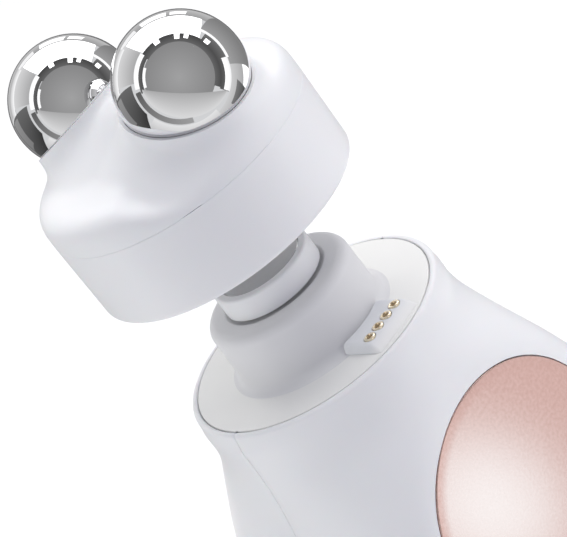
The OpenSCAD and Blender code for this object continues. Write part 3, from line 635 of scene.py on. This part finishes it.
# percussion collar with a magnet let into it
collar = {
    "gap": 0.3, "radius": 10.3, "height": 4.9, "bore": 4.0, "foot": 0.5, "lowRound": 0.3, "edge": 0.6,
    "seat": 8.6, "seatEdge": 0.15, "seatEdgeDrop": 0.12, "seatDepth": 2.2,
    "magnet": 8.5, "magnetSunk": 0.15, "magnetEdge": 0.2,
}
cr, bore, lr, ce, seat = (collar[key] for key in ("radius", "bore", "lowRound", "edge", "seat"))
cz = bh + collar["gap"]
collarTop = cz + collar["height"]
seatFoot = collarTop - collar["seatDepth"]
profile = [(bore, cz), (cr - collar["foot"], cz)] + arc(cr - lr, cz + lr, lr, -90, 0, 3)
profile += arc(cr - ce, collarTop - ce, ce, 0, 90, 5)
profile += [(seat + collar["seatEdge"], collarTop), (seat, collarTop - collar["seatEdgeDrop"])]
profile += [(seat, seatFoot), (bore, seatFoot)]
finished(turned("shaftCollar", profile, 160, closed=True), "shell", "percussion", ["collar"])
mr, me, magnetTop = collar["magnet"], collar["magnetEdge"], collarTop - collar["magnetSunk"]
profile = [(0, seatFoot), (mr, seatFoot), (mr, magnetTop - me), (mr - me, magnetTop), (0, magnetTop)]
finished(turned("collarMagnet", profile, 128), "magnet", "percussion", ["collar_magnet"])
print("head made")

# contact block, sleeves and sprung contacts
block = {
    "length": 13.6, "ledge": 21.9, "outer": 24.6, "inner": 14.6, "height": 1.95, "sunk": 0.3, "taper": 0.9,
    "softEdge": 0.75, "edgeSteps": 6, "bootRoom": 16.2, "roomFrom": -3.0, "roomTo": 8.0,
}
deselectAll()
bpy.ops.mesh.primitive_cube_add(size=1)
contactBlock = named("contactBlock")
for v in contactBlock.data.vertices:
    up = v.co.z > 0
    x = 0.5 * block["length"] - (block["taper"] if up else 0)
    y = block["inner"] if v.co.y > 0 else block["ledge"] if up else block["outer"]
    z = top + (block["height"] if up else -block["sunk"])
    v.co = Vector((math.copysign(x, v.co.x), -y, z)) * mm
editAll("EDGE")
bpy.ops.mesh.bevel(offset=block["softEdge"] * mm, segments=block["edgeSteps"], affect="EDGES")
leaveEdit()
room = drum("bootRoom", block["bootRoom"], top + block["roomFrom"], top + block["roomTo"], 128)
combined(contactBlock, room)
sleeveHoles(contactBlock, 6)
# the block gets the plate's finish darkened with painted shade near the boot
finished(contactBlock, "plate", "handle", ["contact_block"], look="contactPaintedShade")

sleeveTop, tipRadius = top + contacts["sleeveTop"], contacts["tipRadius"]
lip, sleeveFoot = raised(contacts["lip"], sleeveTop), top + contacts["sleeveFoot"]
tip, tipFoot = sleeveTop + contacts["tip"], top + contacts["tipFoot"]
sleeveProfile = lip + [(contacts["sleeve"], sleeveFoot), (contacts["bore"], sleeveFoot)]
tipProfile = [(0, tipFoot), (tipRadius, tipFoot), (tipRadius, tip - tipRadius)]
tipProfile += arc(0, tip - tipRadius, tipRadius, 10, 80, 6) + [(0, tip)]
for k, body in enumerate(contacts["bodies"]):
    sleeve = placed(turned(f"contactSleeve{k + 1}", sleeveProfile, 40, closed=True), atContact(k))
    finished(sleeve, "gold", "handle", ["contact_sleeves"])
    contact = placed(turned(f"sprungContact{k + 1}", tipProfile, 32), atContact(k))
    finished(contact, "gold", body, [f"contact_{k + 1}"], look="bronze")
print("contacts made")

# control strip: bezel, two push buttons, three lights
bezel = {"half": 6.0, "slide": 8.5, "thick": 1.4, "lowEdge": 0.05, "edge": 0.3, "land": 0.7, "landDrop": 0.02,
         "dip": 0.85, "dipDrop": 0.12, "holeFrom": -4.0, "holeTo": 2.0,
         "legRadius": 1.2, "legFrom": -7.2, "legTo": -0.7}
buttons = {
    "powerButton": {"at": -5.597, "radius": 4.4, "node": "power_button", "body": "power_key",
                    "mark": [(1.55, 0.72), (1.45, 0.6), (1.15, 0.6), (1.05, 0.71), (0, 0.7)]},
    "modeButton": {"at": 4.408, "radius": 3.4, "node": "mode_button", "body": "mode_key",
                   "mark": [(0.75, 0.71), (0.62, 0.76), (0.4, 0.84), (0, 0.87)]},
}
# a key stands on a stem; its rim goes inward and down from its edge, its dish has shares of the radius
keys = {
    "out": 0.9, "gap": 0.15, "flare": 0.35, "flareFrom": -0.4, "flareTo": 0.0, "stem": 1.9, "stemFrom": -4.2,
    "foot": -0.8, "footEdge": 0.1, "edge": 0.5, "rim": ((0.7, 0.02), (1.0, 0.06)),
    "dish": ((0.62, 0.14), (0.45, 0.17)),
}
lights = {
    "at": 9.599, "pitch": 3.0, "radius": 0.7, "gap": 0.05, "flare": 0.2, "flareFrom": -0.25, "flareTo": -0.05,
    "board": -7.2, "side": -0.2, "lensDown": 0.59, "lens": 0.8, "flush": 0.05,
}


def bezelHole(name, radius, part, segments):
    low, high, wide = bezel["holeFrom"], bezel["holeTo"], radius + part["flare"]
    profile = [(0, low), (radius, low), (radius, part["flareFrom"])]
    profile += [(wide, part["flareTo"]), (wide, high), (0, high)]
    return turned(name, profile, segments)


half, edge, thick = bezel["half"], bezel["edge"], bezel["thick"]
profile = [(0, -thick), (half - bezel["lowEdge"], -thick), (half, bezel["lowEdge"] - thick), (half, -edge)]
profile += arc(half - edge, -edge, edge, 15, 90, 5) + [(half - bezel["land"], -bezel["landDrop"])]
profile += [(half - bezel["dip"], -bezel["dipDrop"]), (0, -bezel["dipDrop"])]
bezelPiece = turned("controlBezel", profile, 128, slide=bezel["slide"])
for button in buttons.values():
    hole = bezelHole("buttonHole", button["radius"] + keys["gap"], keys, 96)
    combined(bezelPiece, placed(hole, lifted(button["at"], 0, 0)))
for k in (-1, 0, 1):
    hole = bezelHole("lightHole", lights["radius"] + lights["gap"], lights, 40)
    combined(bezelPiece, placed(hole, lifted(lights["at"], k * lights["pitch"], 0)))
for x in (-shared["controlLegAt"], shared["controlLegAt"]):
    leg = drum("bezelLeg", bezel["legRadius"], bezel["legFrom"], bezel["legTo"], 40)
    combined(bezelPiece, placed(leg, lifted(x, 0, 0)), "UNION")
finished(placed(bezelPiece, strip), "bezel", "handle", ["control_bezel"], angle=28)
for name, button in buttons.items():
    r, out, edge, stem, foot = button["radius"], keys["out"], keys["edge"], keys["stem"], keys["foot"]
    profile = [(0, keys["stemFrom"]), (stem, keys["stemFrom"]), (stem, foot), (r - keys["footEdge"], foot)]
    profile += [(r, foot + keys["footEdge"]), (r, out - edge)] + arc(r - edge, out - edge, edge, 12, 84, 7)
    profile += [(r - inward, out - down) for inward, down in keys["rim"]]
    profile += [(r * share, out - down) for share, down in keys["dish"]] + button["mark"]
    piece = placed(turned(name, profile, 128), strip @ lifted(button["at"], 0, 0))
    finished(piece, "shell", button["body"], [button["node"]], look="button")
r, flush = lights["radius"], lights["flush"]
profile = [(0, lights["board"]), (r, lights["board"]), (r, lights["side"])]
lens = arc(0, -lights["lensDown"], lights["lens"], 29, 80, 6)[1:]
profile += [(x, min(z, flush)) for x, z in lens] + [(0, flush)]
for k in (-1, 0, 1):
    light = turned(f"indicatorLight{k + 2}", profile, 40)
    placed(light, strip @ lifted(lights["at"], k * lights["pitch"], 0))
    finished(light, "light", "handle", ["indicator_lights"])
print("controls made")

# charging socket with its pin, and the soft foot; the socket's heights go inward from the flank
inlet = {
    "floor": 8.5, "mouth": 3.1,
    "edge": ((0, 1.1), (0.1, 1.0), (0.45, 0.25), (0.6, 0.05)),  # out from the mouth
    "outside": ((4.25, 0.02), (4.4, 0.15), (4.4, 3.9), (5.8, 3.9), (5.8, 5.5), (4.4, 5.5), (4.4, 11),
                (0, 11)),
    "pin": ((0, 1.3), (0.35, 1.3), (0.7, 1.42), (0.95, 1.75), (0.95, 8.45), (0, 8.45)),
}
inward = lifted(handle["flank"], 0, shared["inletHeight"], facingLeft)
profile = [(0, inlet["floor"]), (inlet["mouth"], inlet["floor"])]
profile += [(inlet["mouth"] + out, z) for out, z in inlet["edge"]] + list(inlet["outside"])
finished(placed(turned("chargingSocket", profile, 96), inward), "switch", "handle", ["charging_socket"])
finished(placed(turned("socketPin", inlet["pin"], 48), inward), "steel", "handle", ["charging_socket"])
sole = {
    "slide": 5.0,
    "outline": ((0, 0.25), (5.2, 0.25), (5.5, 0.05), (5.7, 0.0), (7.5, 0.0), (7.85, 0.12), (8.0, 0.45),
                (8.0, 1.5), (7.9, 1.6), (0, 1.6)),
}
finished(turned("baseFoot", sole["outline"], 128, slide=sole["slide"]), "foot", "handle", ["base_foot"])
print("socket and foot made")

# skirt of the attachment: a wall round a web with a bore, its heights from the attachment's foot
skirt = {
    "outer": 26.9, "wall": 2.0, "edge": 1.1, "chamfer": 0.4,
    "upper": ((0.05, 9), (0.1, 16.14), (0.02, 16.26)),  # how far it goes out as it rises
    "height": 16.26, "bore": 12.3, "webFrom": 13.0, "webTo": 14.6, "fillet": 0.5,
    "screwHole": 1.0, "screwFrom": 11.0, "screwTo": 15.5,
}
so, si, se, sc = skirt["outer"], skirt["outer"] - skirt["wall"], skirt["edge"], skirt["chamfer"]
bore, webFrom, webTo, fillet = skirt["bore"], skirt["webFrom"], skirt["webTo"], skirt["fillet"]
profile = [(si, sc), (si + sc, 0)] + arc(so - se, se, se, -90, 0, 8)
profile += [(so + out, z) for out, z in skirt["upper"]]
profile += [(si, skirt["height"]), (si, webTo), (bore, webTo), (bore, webFrom)]
profile += [(si - fillet, webFrom), (si, webFrom - fillet)]
skirtPiece = turned("attachmentSkirt", raised(profile, attachmentZ), 192, closed=True)
low, high = attachmentZ + skirt["screwFrom"], attachmentZ + skirt["screwTo"]
for place in screwPlaces():
    combined(skirtPiece, placed(drum("screwHole", skirt["screwHole"], low, high), place))
finished(skirtPiece, "shell", "attachment", ["skirt"])

# lid with its two ball sockets, its heights from the attachment's foot
lid = {
    "radius": 27.0, "wall": 1.8, "rise": 19.3, "shoulder": 3.4, "slope": 12.0, "crown": 6.0, "crownRise": 0.6,
    "formFrom": 12.0, "hollowFrom": 16.0, "cutAt": 16.36, "voxel": 0.42, "smoothing": 80, "smoothShare": 0.5,
    "saddle": [(23, 12), (23, 20), (20, 21.8), (17.5, 23.4), (15, 25.0), (13, 26.4), (9.8, 28.5), (7.6, 30.2),
               (5.4, 31.4)],
    "saddleTop": 31.6, "saddleSlim": 0.8,
    "eaves": [(1, 28), (-1, 27.2), (-3, 26.3), (-5, 25.3), (-7, 24.3), (-9, 23.0), (-11, 21.8), (-13, 20.8),
              (-15, 19.8), (-17, 19.0), (-19, 18.4), (-21, 17.9), (-24, 17.4), (-30, 16.9)],
    "eavesTop": 44.0, "eavesFrom": -30.0, "eavesRun": 27.0, "eavesInner": 1.9,
    "rimDrop": 2.5, "land": 0.45, "bowlFloor": 0.6, "bowlReach": 9.0, "bowlTop": 24.0, "socketWall": 1.2,
    "flare": ((8.5, -30), (8.5, -12.4), (5.4, -9.6), (3, -7.6), (1.3, -5.8), (0.35, -4.2), (0.02, -0.5)),
    "reachFrom": 17.0, "reachTo": 60.0, "post": 2.2, "postFrom": 15.0, "postTo": 40.0,
}
attached = lifted(0, 0, attachmentZ)
cavity = shared["ballRadius"] + shared["socketGap"]
rim = math.sqrt(cavity ** 2 - lid["rimDrop"] ** 2) + lid["land"]


def lidOutline(low, inset):
    r, rise, shoulder = lid["radius"] - inset, lid["rise"], lid["shoulder"]
    curve = arc(lid["radius"] - shoulder, rise, shoulder - inset, 0, 90 - lid["slope"], 8)[1:]
    ex, ez = curve[-1]
    crownZ = ez + (ex - lid["crown"]) * math.tan(math.radians(lid["slope"]))
    return [(0, low), (r, low), (r, rise)] + curve + [(lid["crown"], crownZ), (0, crownZ + lid["crownRise"])]


def eaves(name, drop):
    # what is taken off the form so that it falls away at its front left
    line = raised(lid["eaves"], -drop)
    line += [(line[-1][0], lid["eavesTop"]), (line[0][0], lid["eavesTop"])]
    deselectAll()
    bpy.ops.mesh.primitive_circle_add(vertices=len(line), radius=mm, fill_type="NGON")
    bar = named(name)
    for v, (y, z) in zip(bar.data.vertices, line):
        v.co = Vector((lid["eavesFrom"], y, z)) * mm
    editAll()
    extrudeBy(lid["eavesRun"], 0, 0)
    faceOutward()
    return placed(bar, attached)


form = placed(turned("attachmentLid", lidOutline(lid["formFrom"], 0), 192), attached)
combined(form, eaves("eaves", 0))
profile = [(rim + out, z) for out, z in lid["flare"]]
profile = [(0, profile[0][1])] + profile + [(0, profile[-1][1])]
flares = placed(turned("flare", profile, 192), ballFrame(-1))
combined(flares, placed(turned("flare", profile, 192), ballFrame(1)), "UNION")
profile = [(0, lid["saddle"][0][1])] + lid["saddle"] + [(0, lid["saddleTop"])]
saddle = placed(turned("saddle", profile, 128), attached @ Matrix.Diagonal((1, lid["saddleSlim"], 1, 1)))
combined(flares, saddle, "UNION")
keep = placed(drum("lidReach", lid["radius"], lid["reachFrom"], lid["reachTo"], 192), attached)
combined(flares, keep, "INTERSECT")
combined(form, flares, "UNION")
modified(form, "REMESH", mode="VOXEL", voxel_size=lid["voxel"] * mm)
modified(form, "SMOOTH", factor=lid["smoothShare"], iterations=lid["smoothing"])
editAll()
cutPlace = (0, 0, (attachmentZ + lid["cutAt"]) * mm)
bpy.ops.mesh.bisect(plane_co=cutPlace, plane_no=(0, 0, 1), use_fill=True, clear_inner=True)
leaveEdit()
print("lid form:", len(form.data.polygons), "faces")
bowlFloor, drop, reach = lid["bowlFloor"] - cavity, -lid["rimDrop"], rim + lid["bowlReach"]
start, end = (math.degrees(math.asin(z / cavity)) for z in (bowlFloor, drop))
bowl = [(0, bowlFloor)] + arc(0, 0, cavity, start, end, 24)
bowl += [(reach, drop), (reach, lid["bowlTop"]), (0, lid["bowlTop"])]
hollow = placed(turned("hollow", lidOutline(lid["hollowFrom"], lid["wall"]), 128), attached)
for side in (-1, 1):
    combined(form, placed(turned("bowl", bowl, 192), ballFrame(side)))
    deselectAll()
    bpy.ops.mesh.primitive_uv_sphere_add(segments=96, ring_count=64, radius=(cavity + lid["socketWall"]) * mm)
    combined(hollow, placed(named("socket"), ballFrame(side)))
for place in screwPlaces(attachmentZ):
    combined(hollow, placed(drum("post", lid["post"], lid["postFrom"], lid["postTo"]), place))
combined(hollow, eaves("eavesInside", lid["eavesInner"]))
combined(form, hollow)
finished(form, "shell", "attachment", ["lid"], angle=40)
print("lid made:", len(form.data.polygons), "faces")

# balls, each with a hub hole where its axle goes in
ball = {"flat": 10.8, "hub": 3.2, "hubTop": 4.0}


def ballPiece(name, side, node, body):
    r = shared["ballRadius"]
    start = math.degrees(math.asin(-ball["flat"] / r))
    profile = [(0, ball["hubTop"]), (ball["hub"], ball["hubTop"]), (ball["hub"], -ball["flat"])]
    profile += arc(0, 0, r, start, 88, 72) + [(0, r)]
    finished(placed(turned(name, profile), ballFrame(side)), "ball", body, [node], angle=30)


ballPiece("frontBall", -1, "front_ball", "front_roller")
ballPiece("rearBall", 1, "rear_ball", "rear_roller")
print("balls made")

# camera, floor and studio light
view = {
    "place": (-202.2, -316.9, 276.0),
    "right": (0.5317, -0.6431, -0.5511),
    "up": (0.6863, -0.0541, 0.7253),
    "back": (-0.4962, -0.7639, 0.4126),
    "lens": 142.857, "sensor": 36.0, "clipStart": 0.01,
}
viewTurn = Matrix((view["right"], view["up"], view["back"])).transposed()
cameraData = bpy.data.cameras.new("camera")
cameraData.lens = view["lens"]
cameraData.sensor_width = view["sensor"]
cameraData.clip_start = view["clipStart"]
camera = bpy.data.objects.new("camera", cameraData)
camera.matrix_world = Matrix.Translation(Vector(view["place"]) * mm) @ viewTurn.to_4x4()
bpy.context.scene.collection.objects.link(camera)
bpy.context.scene.camera = camera
bpy.context.scene.view_settings.view_transform = "Standard"


def mixed(tree, factor, first, second):
    # goes from the first shader to the second as the factor goes from 0 to 1
    mix = addNode(tree, "MixShader")
    for socket, source in (("Fac", factor), (1, first), (2, second)):
        tree.links.new(source, mix.inputs[socket])
    return mix.outputs["Shader"]


def farness(tree, place, start, end):
    # goes from 0 to 1 with the distance from the middle of the place's vector
    reach = addNode(tree, "VectorMath", operation="LENGTH")
    ends = {"From Min": start, "From Max": end}
    fade = addNode(tree, "MapRange", ends, interpolation_type="SMOOTHSTEP")
    tree.links.new(place, reach.inputs[0])
    join(tree, reach, "Value", fade, "Value")
    return fade.outputs["Result"]


studio = {
    "floorSize": 6.0, "floorZ": -0.0002, "floorColour": (0.96, 0.96, 0.96),
    "floorRough": 0.9, "floorGloss": 0.1, "fadeFrom": 0.25, "fadeTo": 0.9,
    "worldColour": (0.73, 0.745, 1.0), "worldGlow": 0.3,
    "mirroredColour": (0.98, 0.99, 1), "mirroredGlow": 0.8,
    "aimHeight": 0.1, "cardDistance": 1.5, "cardStep": 0.01,
}
# far from the part the camera sees the floor go over into plain white
deselectAll()
bpy.ops.mesh.primitive_plane_add(size=studio["floorSize"], location=(0, 0, studio["floorZ"]))
floor = named("studioFloor")
material, tree, shader = newMaterial("floorPaper")
setSockets(shader, {
    "Base Color": (*studio["floorColour"], 1),
    "Roughness": studio["floorRough"],
    "Specular IOR Level": studio["floorGloss"],
})
place = addNode(tree, "TexCoord").outputs["Object"]
seen = addNode(tree, "LightPath")
mask = addNode(tree, "Math", operation="MULTIPLY")
glow = addNode(tree, "Emission")
tree.links.new(farness(tree, place, studio["fadeFrom"], studio["fadeTo"]), mask.inputs[0])
join(tree, seen, "Is Camera Ray", mask, 1)
shown = mixed(tree, mask.outputs["Value"], shader.outputs["BSDF"], glow.outputs["Emission"])
tree.links.new(shown, tree.nodes["Material Output"].inputs["Surface"])
material.cycles.emission_sampling = "NONE"
floor.data.materials.append(material)
floor.visible_glossy = False

# the world lights softly, shows brighter in gloss, and is white to the camera
world = bpy.data.worlds.new("studio")
bpy.context.scene.world = world
world.use_nodes = True
tree = world.node_tree
roomLight = tree.nodes["Background"]
setSockets(roomLight, {"Color": (*studio["worldColour"], 1), "Strength": studio["worldGlow"]})
mirrored = addNode(tree, "Background")
setSockets(mirrored, {"Color": (*studio["mirroredColour"], 1), "Strength": studio["mirroredGlow"]})
paper = addNode(tree, "Background", {"Color": (1, 1, 1, 1)})
seen = addNode(tree, "LightPath")
dim, gloss, white = (glow.outputs["Background"] for glow in (roomLight, mirrored, paper))
polished = mixed(tree, seen.outputs["Is Glossy Ray"], dim, gloss)
shown = mixed(tree, seen.outputs["Is Camera Ray"], polished, white)
tree.links.new(shown, tree.nodes["World Output"].inputs["Surface"])

# each lamp has its place and size in metres, its power and its colour
lamps = {
    "softTop": ((0.05, 0.3, 1.15), (0.9, 0.8), 3.2, (1, 1, 0.97)),
    "softRight": ((0.55, -0.5, 1.0), (0.6, 0.6), 4.75, (1, 1, 0.97)),
    "softOver": ((0.45, -0.1, 1.2), (0.8, 0.6), 3.1, (1, 0.97, 0.93)),
    "softFront": ((0.65, -1.1, 0.4), (0.6, 0.6), 3.65, (1, 0.98, 0.95)),
    "softSide": ((1.0, -0.62, 0.34), (0.5, 0.7), 0.6, (1, 0.98, 0.9)),
    "softLeft": ((-0.85, 0.4, 0.4), (0.5, 0.8), 4.3, (1, 1, 0.92)),
    "softBack": ((0.3, 1.0, 0.7), (0.7, 0.6), 3.5, (1, 0.99, 0.9)),
}
aim = Vector((0, 0, studio["aimHeight"]))
for name, (place, size, power, colour) in lamps.items():
    data = bpy.data.lights.new(name, "AREA")
    data.shape = "RECTANGLE"
    data.size, data.size_y = size
    data.energy = power
    data.color = colour
    light = bpy.data.objects.new(name, data)
    light.location = place
    light.rotation_euler = (aim - Vector(place)).to_track_quat("-Z", "Y").to_euler()
    light.visible_camera = False
    light.visible_glossy = False
    bpy.context.scene.collection.objects.link(light)


# cards that only gloss and chrome see, placed by the spot of a ball's face where they show:
# a ring card has two radii and two angles, a table card lies under a chord;
# a glow of two levels goes across the card, or along it where the card says so
def ring(inner, outer, first, last, glow, glowTo=None, **more):
    return {"ring": (inner, outer), "sweep": (first, last), "glow": (glow, glowTo or glow), **more}


cards = {
    "room": ring(0.0, 0.5, -180, 180, 0.44, 0.3),
    "outerWall": ring(0.865, 0.968, 60, 190, 0.4, 0.62),
    "outline": ring(0.968, 1.0, -30, 250, 0.34, 0.03),
    "outerBoxOne": ring(0.895, 0.94, 88, 101, 1.6),
    "outerBoxTwo": ring(0.885, 0.945, 104, 126, 1.5),
    "outerBoxThree": ring(0.88, 0.93, 132, 152, 1.1),
    "outerBoxFour": ring(0.9, 0.94, 52, 68, 1.0),
    "overheadBox": ring(0.61, 0.87, 65, 145, 2.6, lean=(8, 4)),
    "upperRight": ring(0.7, 0.97, 18, 69, 0.44, 0.24),
    "upperFlag": ring(0.49, 0.605, -12, 150, 0.16, 0.07),
    "sideFlag": ring(0.575, 0.7, -14, 62, 0.1, 0.2),
    "rimWire": ring(0.7, 0.735, 26, 69, 1.3),
    "lampOne": ring(0.545, 0.6, 119, 127, 3.0),
    "lampTwo": ring(0.53, 0.61, 91, 98, 3.0),
    "lampThree": ring(0.545, 0.6, 79, 85, 3.0),
    "lampFour": ring(0.59, 0.65, 51, 58, 3.0),
    "stripRight": ring(0.63, 0.715, -13, 27, 1.5, 1.1),
    "stripLeft": ring(0.47, 0.51, 164, 196, 1.3),
    "flagLeft": ring(0.51, 0.57, 148, 202, 0.1, 0.16),
    "stripFarLeft": ring(0.57, 0.635, 147, 194, 1.5, 1.2),
    "wallLeft": ring(0.635, 0.9, 147, 186, 0.5, 0.85),
    "edgeLeft": ring(0.87, 0.93, 150, 200, 1.2, 0.7),
    "lowFlag": ring(0.68, 0.97, 187, 226, 0.17, 0.045, lean=(6, 26), along=True),
    "lowCool": ring(0.87, 0.97, 194, 222, 0.34, 0.24, along=True),
    "lowArc": ring(0.575, 0.65, 198, 288, 0.13, 0.42, along=True),
    "underArc": ring(0.665, 0.8, 236, 320, 0.95, 0.7),
    "farRight": ring(0.88, 0.985, -8, 18, 1.5),
    "lowerRight": ring(0.715, 0.88, -40, 18, 0.75, 0.5),
    "rightFlag": ring(0.79, 0.93, -24, 2, 0.24, 0.06, lean=(0, -6)),
    "table": {"table": (-0.52, 0.66), "glow": (0.86, 0.5)},
}
# the table's two edges as curves over the ball's face
tableEdge = {"high": -0.15, "sag": 0.075, "sagMiddle": 0.06, "sagHalf": 0.6,
             "low": -0.56, "lowMiddle": 0.07, "lowHalf": 0.62}
cardGrid = {"along": 40, "across": 8}
reflectFrom = Vector((0, 0, attachmentZ + shared["ballUp"])) * mm


def between(span, share):
    return span[0] + (span[1] - span[0]) * share


def spotOf(card, along, across):
    if "ring" in card:
        radius = between(card["ring"], across)
        ends = [end + lean * across for end, lean in zip(card["sweep"], card.get("lean", (0, 0)))]
        angle = math.radians(between(ends, along))
        return radius * math.cos(angle), radius * math.sin(angle)
    e, x = tableEdge, between(card["table"], along)
    high = e["high"] - e["sag"] * (1 - ((x - e["sagMiddle"]) / e["sagHalf"]) ** 2)
    low = e["low"] * math.sqrt(max(0.0, 1 - ((x - e["lowMiddle"]) / e["lowHalf"]) ** 2))
    return x, between((min(low, high), high), across)


def cardDirection(x, y):
    # where a ball sends the look of the camera at this place of its face
    n = Vector((x, y, math.sqrt(max(0.0, 1 - x * x - y * y))))
    return viewTurn @ (2 * n.z * n - Vector((0, 0, 1)))


def patched(tree, ground, card):
    # a soft brighter patch on the card's own glow
    span = 2 * card["half"]
    scale = [span / size for size in card["patchSize"]]
    offset = [(-span / 2 - at) / size for at, size in zip(card["patchAt"], card["patchSize"])]
    place = addNode(tree, "TexCoord")
    fit = addNode(tree, "Mapping", {"Scale": (*scale, 0), "Location": (*offset, 0)})
    bright = addNode(tree, "Emission", {"Color": (*card["brightColour"], 1), "Strength": card["bright"]})
    join(tree, place, "UV", fit, "Vector")
    away = farness(tree, fit.outputs["Vector"], card["inner"], card["outer"])
    return mixed(tree, away, bright.outputs["Emission"], ground)


def glowing(plane, card):
    cardMaterial, tree, shader = newMaterial(plane.name)
    tree.nodes.remove(shader)
    first, last = card["glow"]
    glow = addNode(tree, "Emission", {"Strength": first, "Color": (*card.get("colour", (1, 1, 1)), 1)})
    shown = glow.outputs["Emission"]
    if first != last:
        place = addNode(tree, "TexCoord")
        parts = addNode(tree, "SeparateXYZ")
        fade = addNode(tree, "MapRange", {"To Min": first, "To Max": last})
        join(tree, place, "UV", parts, "Vector")
        join(tree, parts, "X" if "along" in card else "Y", fade, "Value")
        join(tree, fade, "Result", glow, "Strength")
    if "patchSize" in card:
        shown = patched(tree, shown, card)
    if "within" in card:
        # only what stands nearer than this sees the card
        path = addNode(tree, "LightPath")
        beyond = addNode(tree, "Math", {1: card["within"]}, operation="GREATER_THAN")
        clear = addNode(tree, "BsdfTransparent")
        join(tree, path, "Ray Length", beyond, 0)
        shown = mixed(tree, beyond.outputs["Value"], shown, clear.outputs["BSDF"])
    tree.links.new(shown, tree.nodes["Material Output"].inputs["Surface"])
    cardMaterial.cycles.emission_sampling = "NONE"
    plane.data.materials.append(cardMaterial)
    for rays in ("camera", "diffuse", "shadow", "transmission"):
        setattr(plane, "visible_" + rays, False)


for index, (name, card) in enumerate(cards.items()):
    deselectAll()
    bpy.ops.mesh.primitive_grid_add(
        x_subdivisions=cardGrid["along"], y_subdivisions=cardGrid["across"], size=2)
    plane = named(name)
    away = studio["cardDistance"] + studio["cardStep"] * (len(cards) - index)
    for v in plane.data.vertices:
        v.co = reflectFrom + cardDirection(*spotOf(card, (v.co.x + 1) / 2, (v.co.y + 1) / 2)) * away
    glowing(plane, card)

# near cards for the satin discs, which nothing else stands near enough to see:
# one gives a disc a soft patch of light on a dimmer ground
discCard = {
    "toward": (0.505, 0.70, -0.505), "across": (-0.856, 0.331, -0.398), "upward": (-0.111, 0.633, 0.766),
    "reach": 100.0, "half": 50.0, "within": 0.15, "glow": (0.79, 0.79), "colour": (1.0, 0.905, 0.9),
    "patchAt": (12.7, 7.7), "patchSize": (18.0, 23.0), "inner": 0.45, "outer": 1.45,
    "bright": 1.9, "brightColour": (0.67, 0.92, 1.0),
}
# another straight ahead keeps it rosy when it is seen square on
aheadCard = {
    "toward": (0, 1, 0), "across": (1, 0, 0), "upward": (0, 0, 1),
    "reach": 85.0, "half": 45.0, "within": 0.1, "glow": (0.95, 0.95), "colour": (1.0, 0.95, 0.95),
}


def nearCard(name, side, card):
    mirror = Vector((1, side, 1))
    toward, across, upward = (Vector(card[key]) * mirror for key in ("toward", "across", "upward"))
    disc = Vector((0, side * shared["faceDepth"], shared["discHeight"]))
    middle = disc + toward.normalized() * card["reach"]
    deselectAll()
    bpy.ops.mesh.primitive_plane_add(size=2)
    plane = named(name)
    for v in plane.data.vertices:
        v.co = (middle + (across * v.co.x + upward * v.co.y) * card["half"]) * mm
    glowing(plane, card)


for end, side in (("Front", -1), ("Rear", 1)):
    nearCard("discCard" + end, side, discCard)
    nearCard("discAhead" + end, side, aheadCard)
print("studio set:", len(lamps), "lamps,", len(cards), "cards")
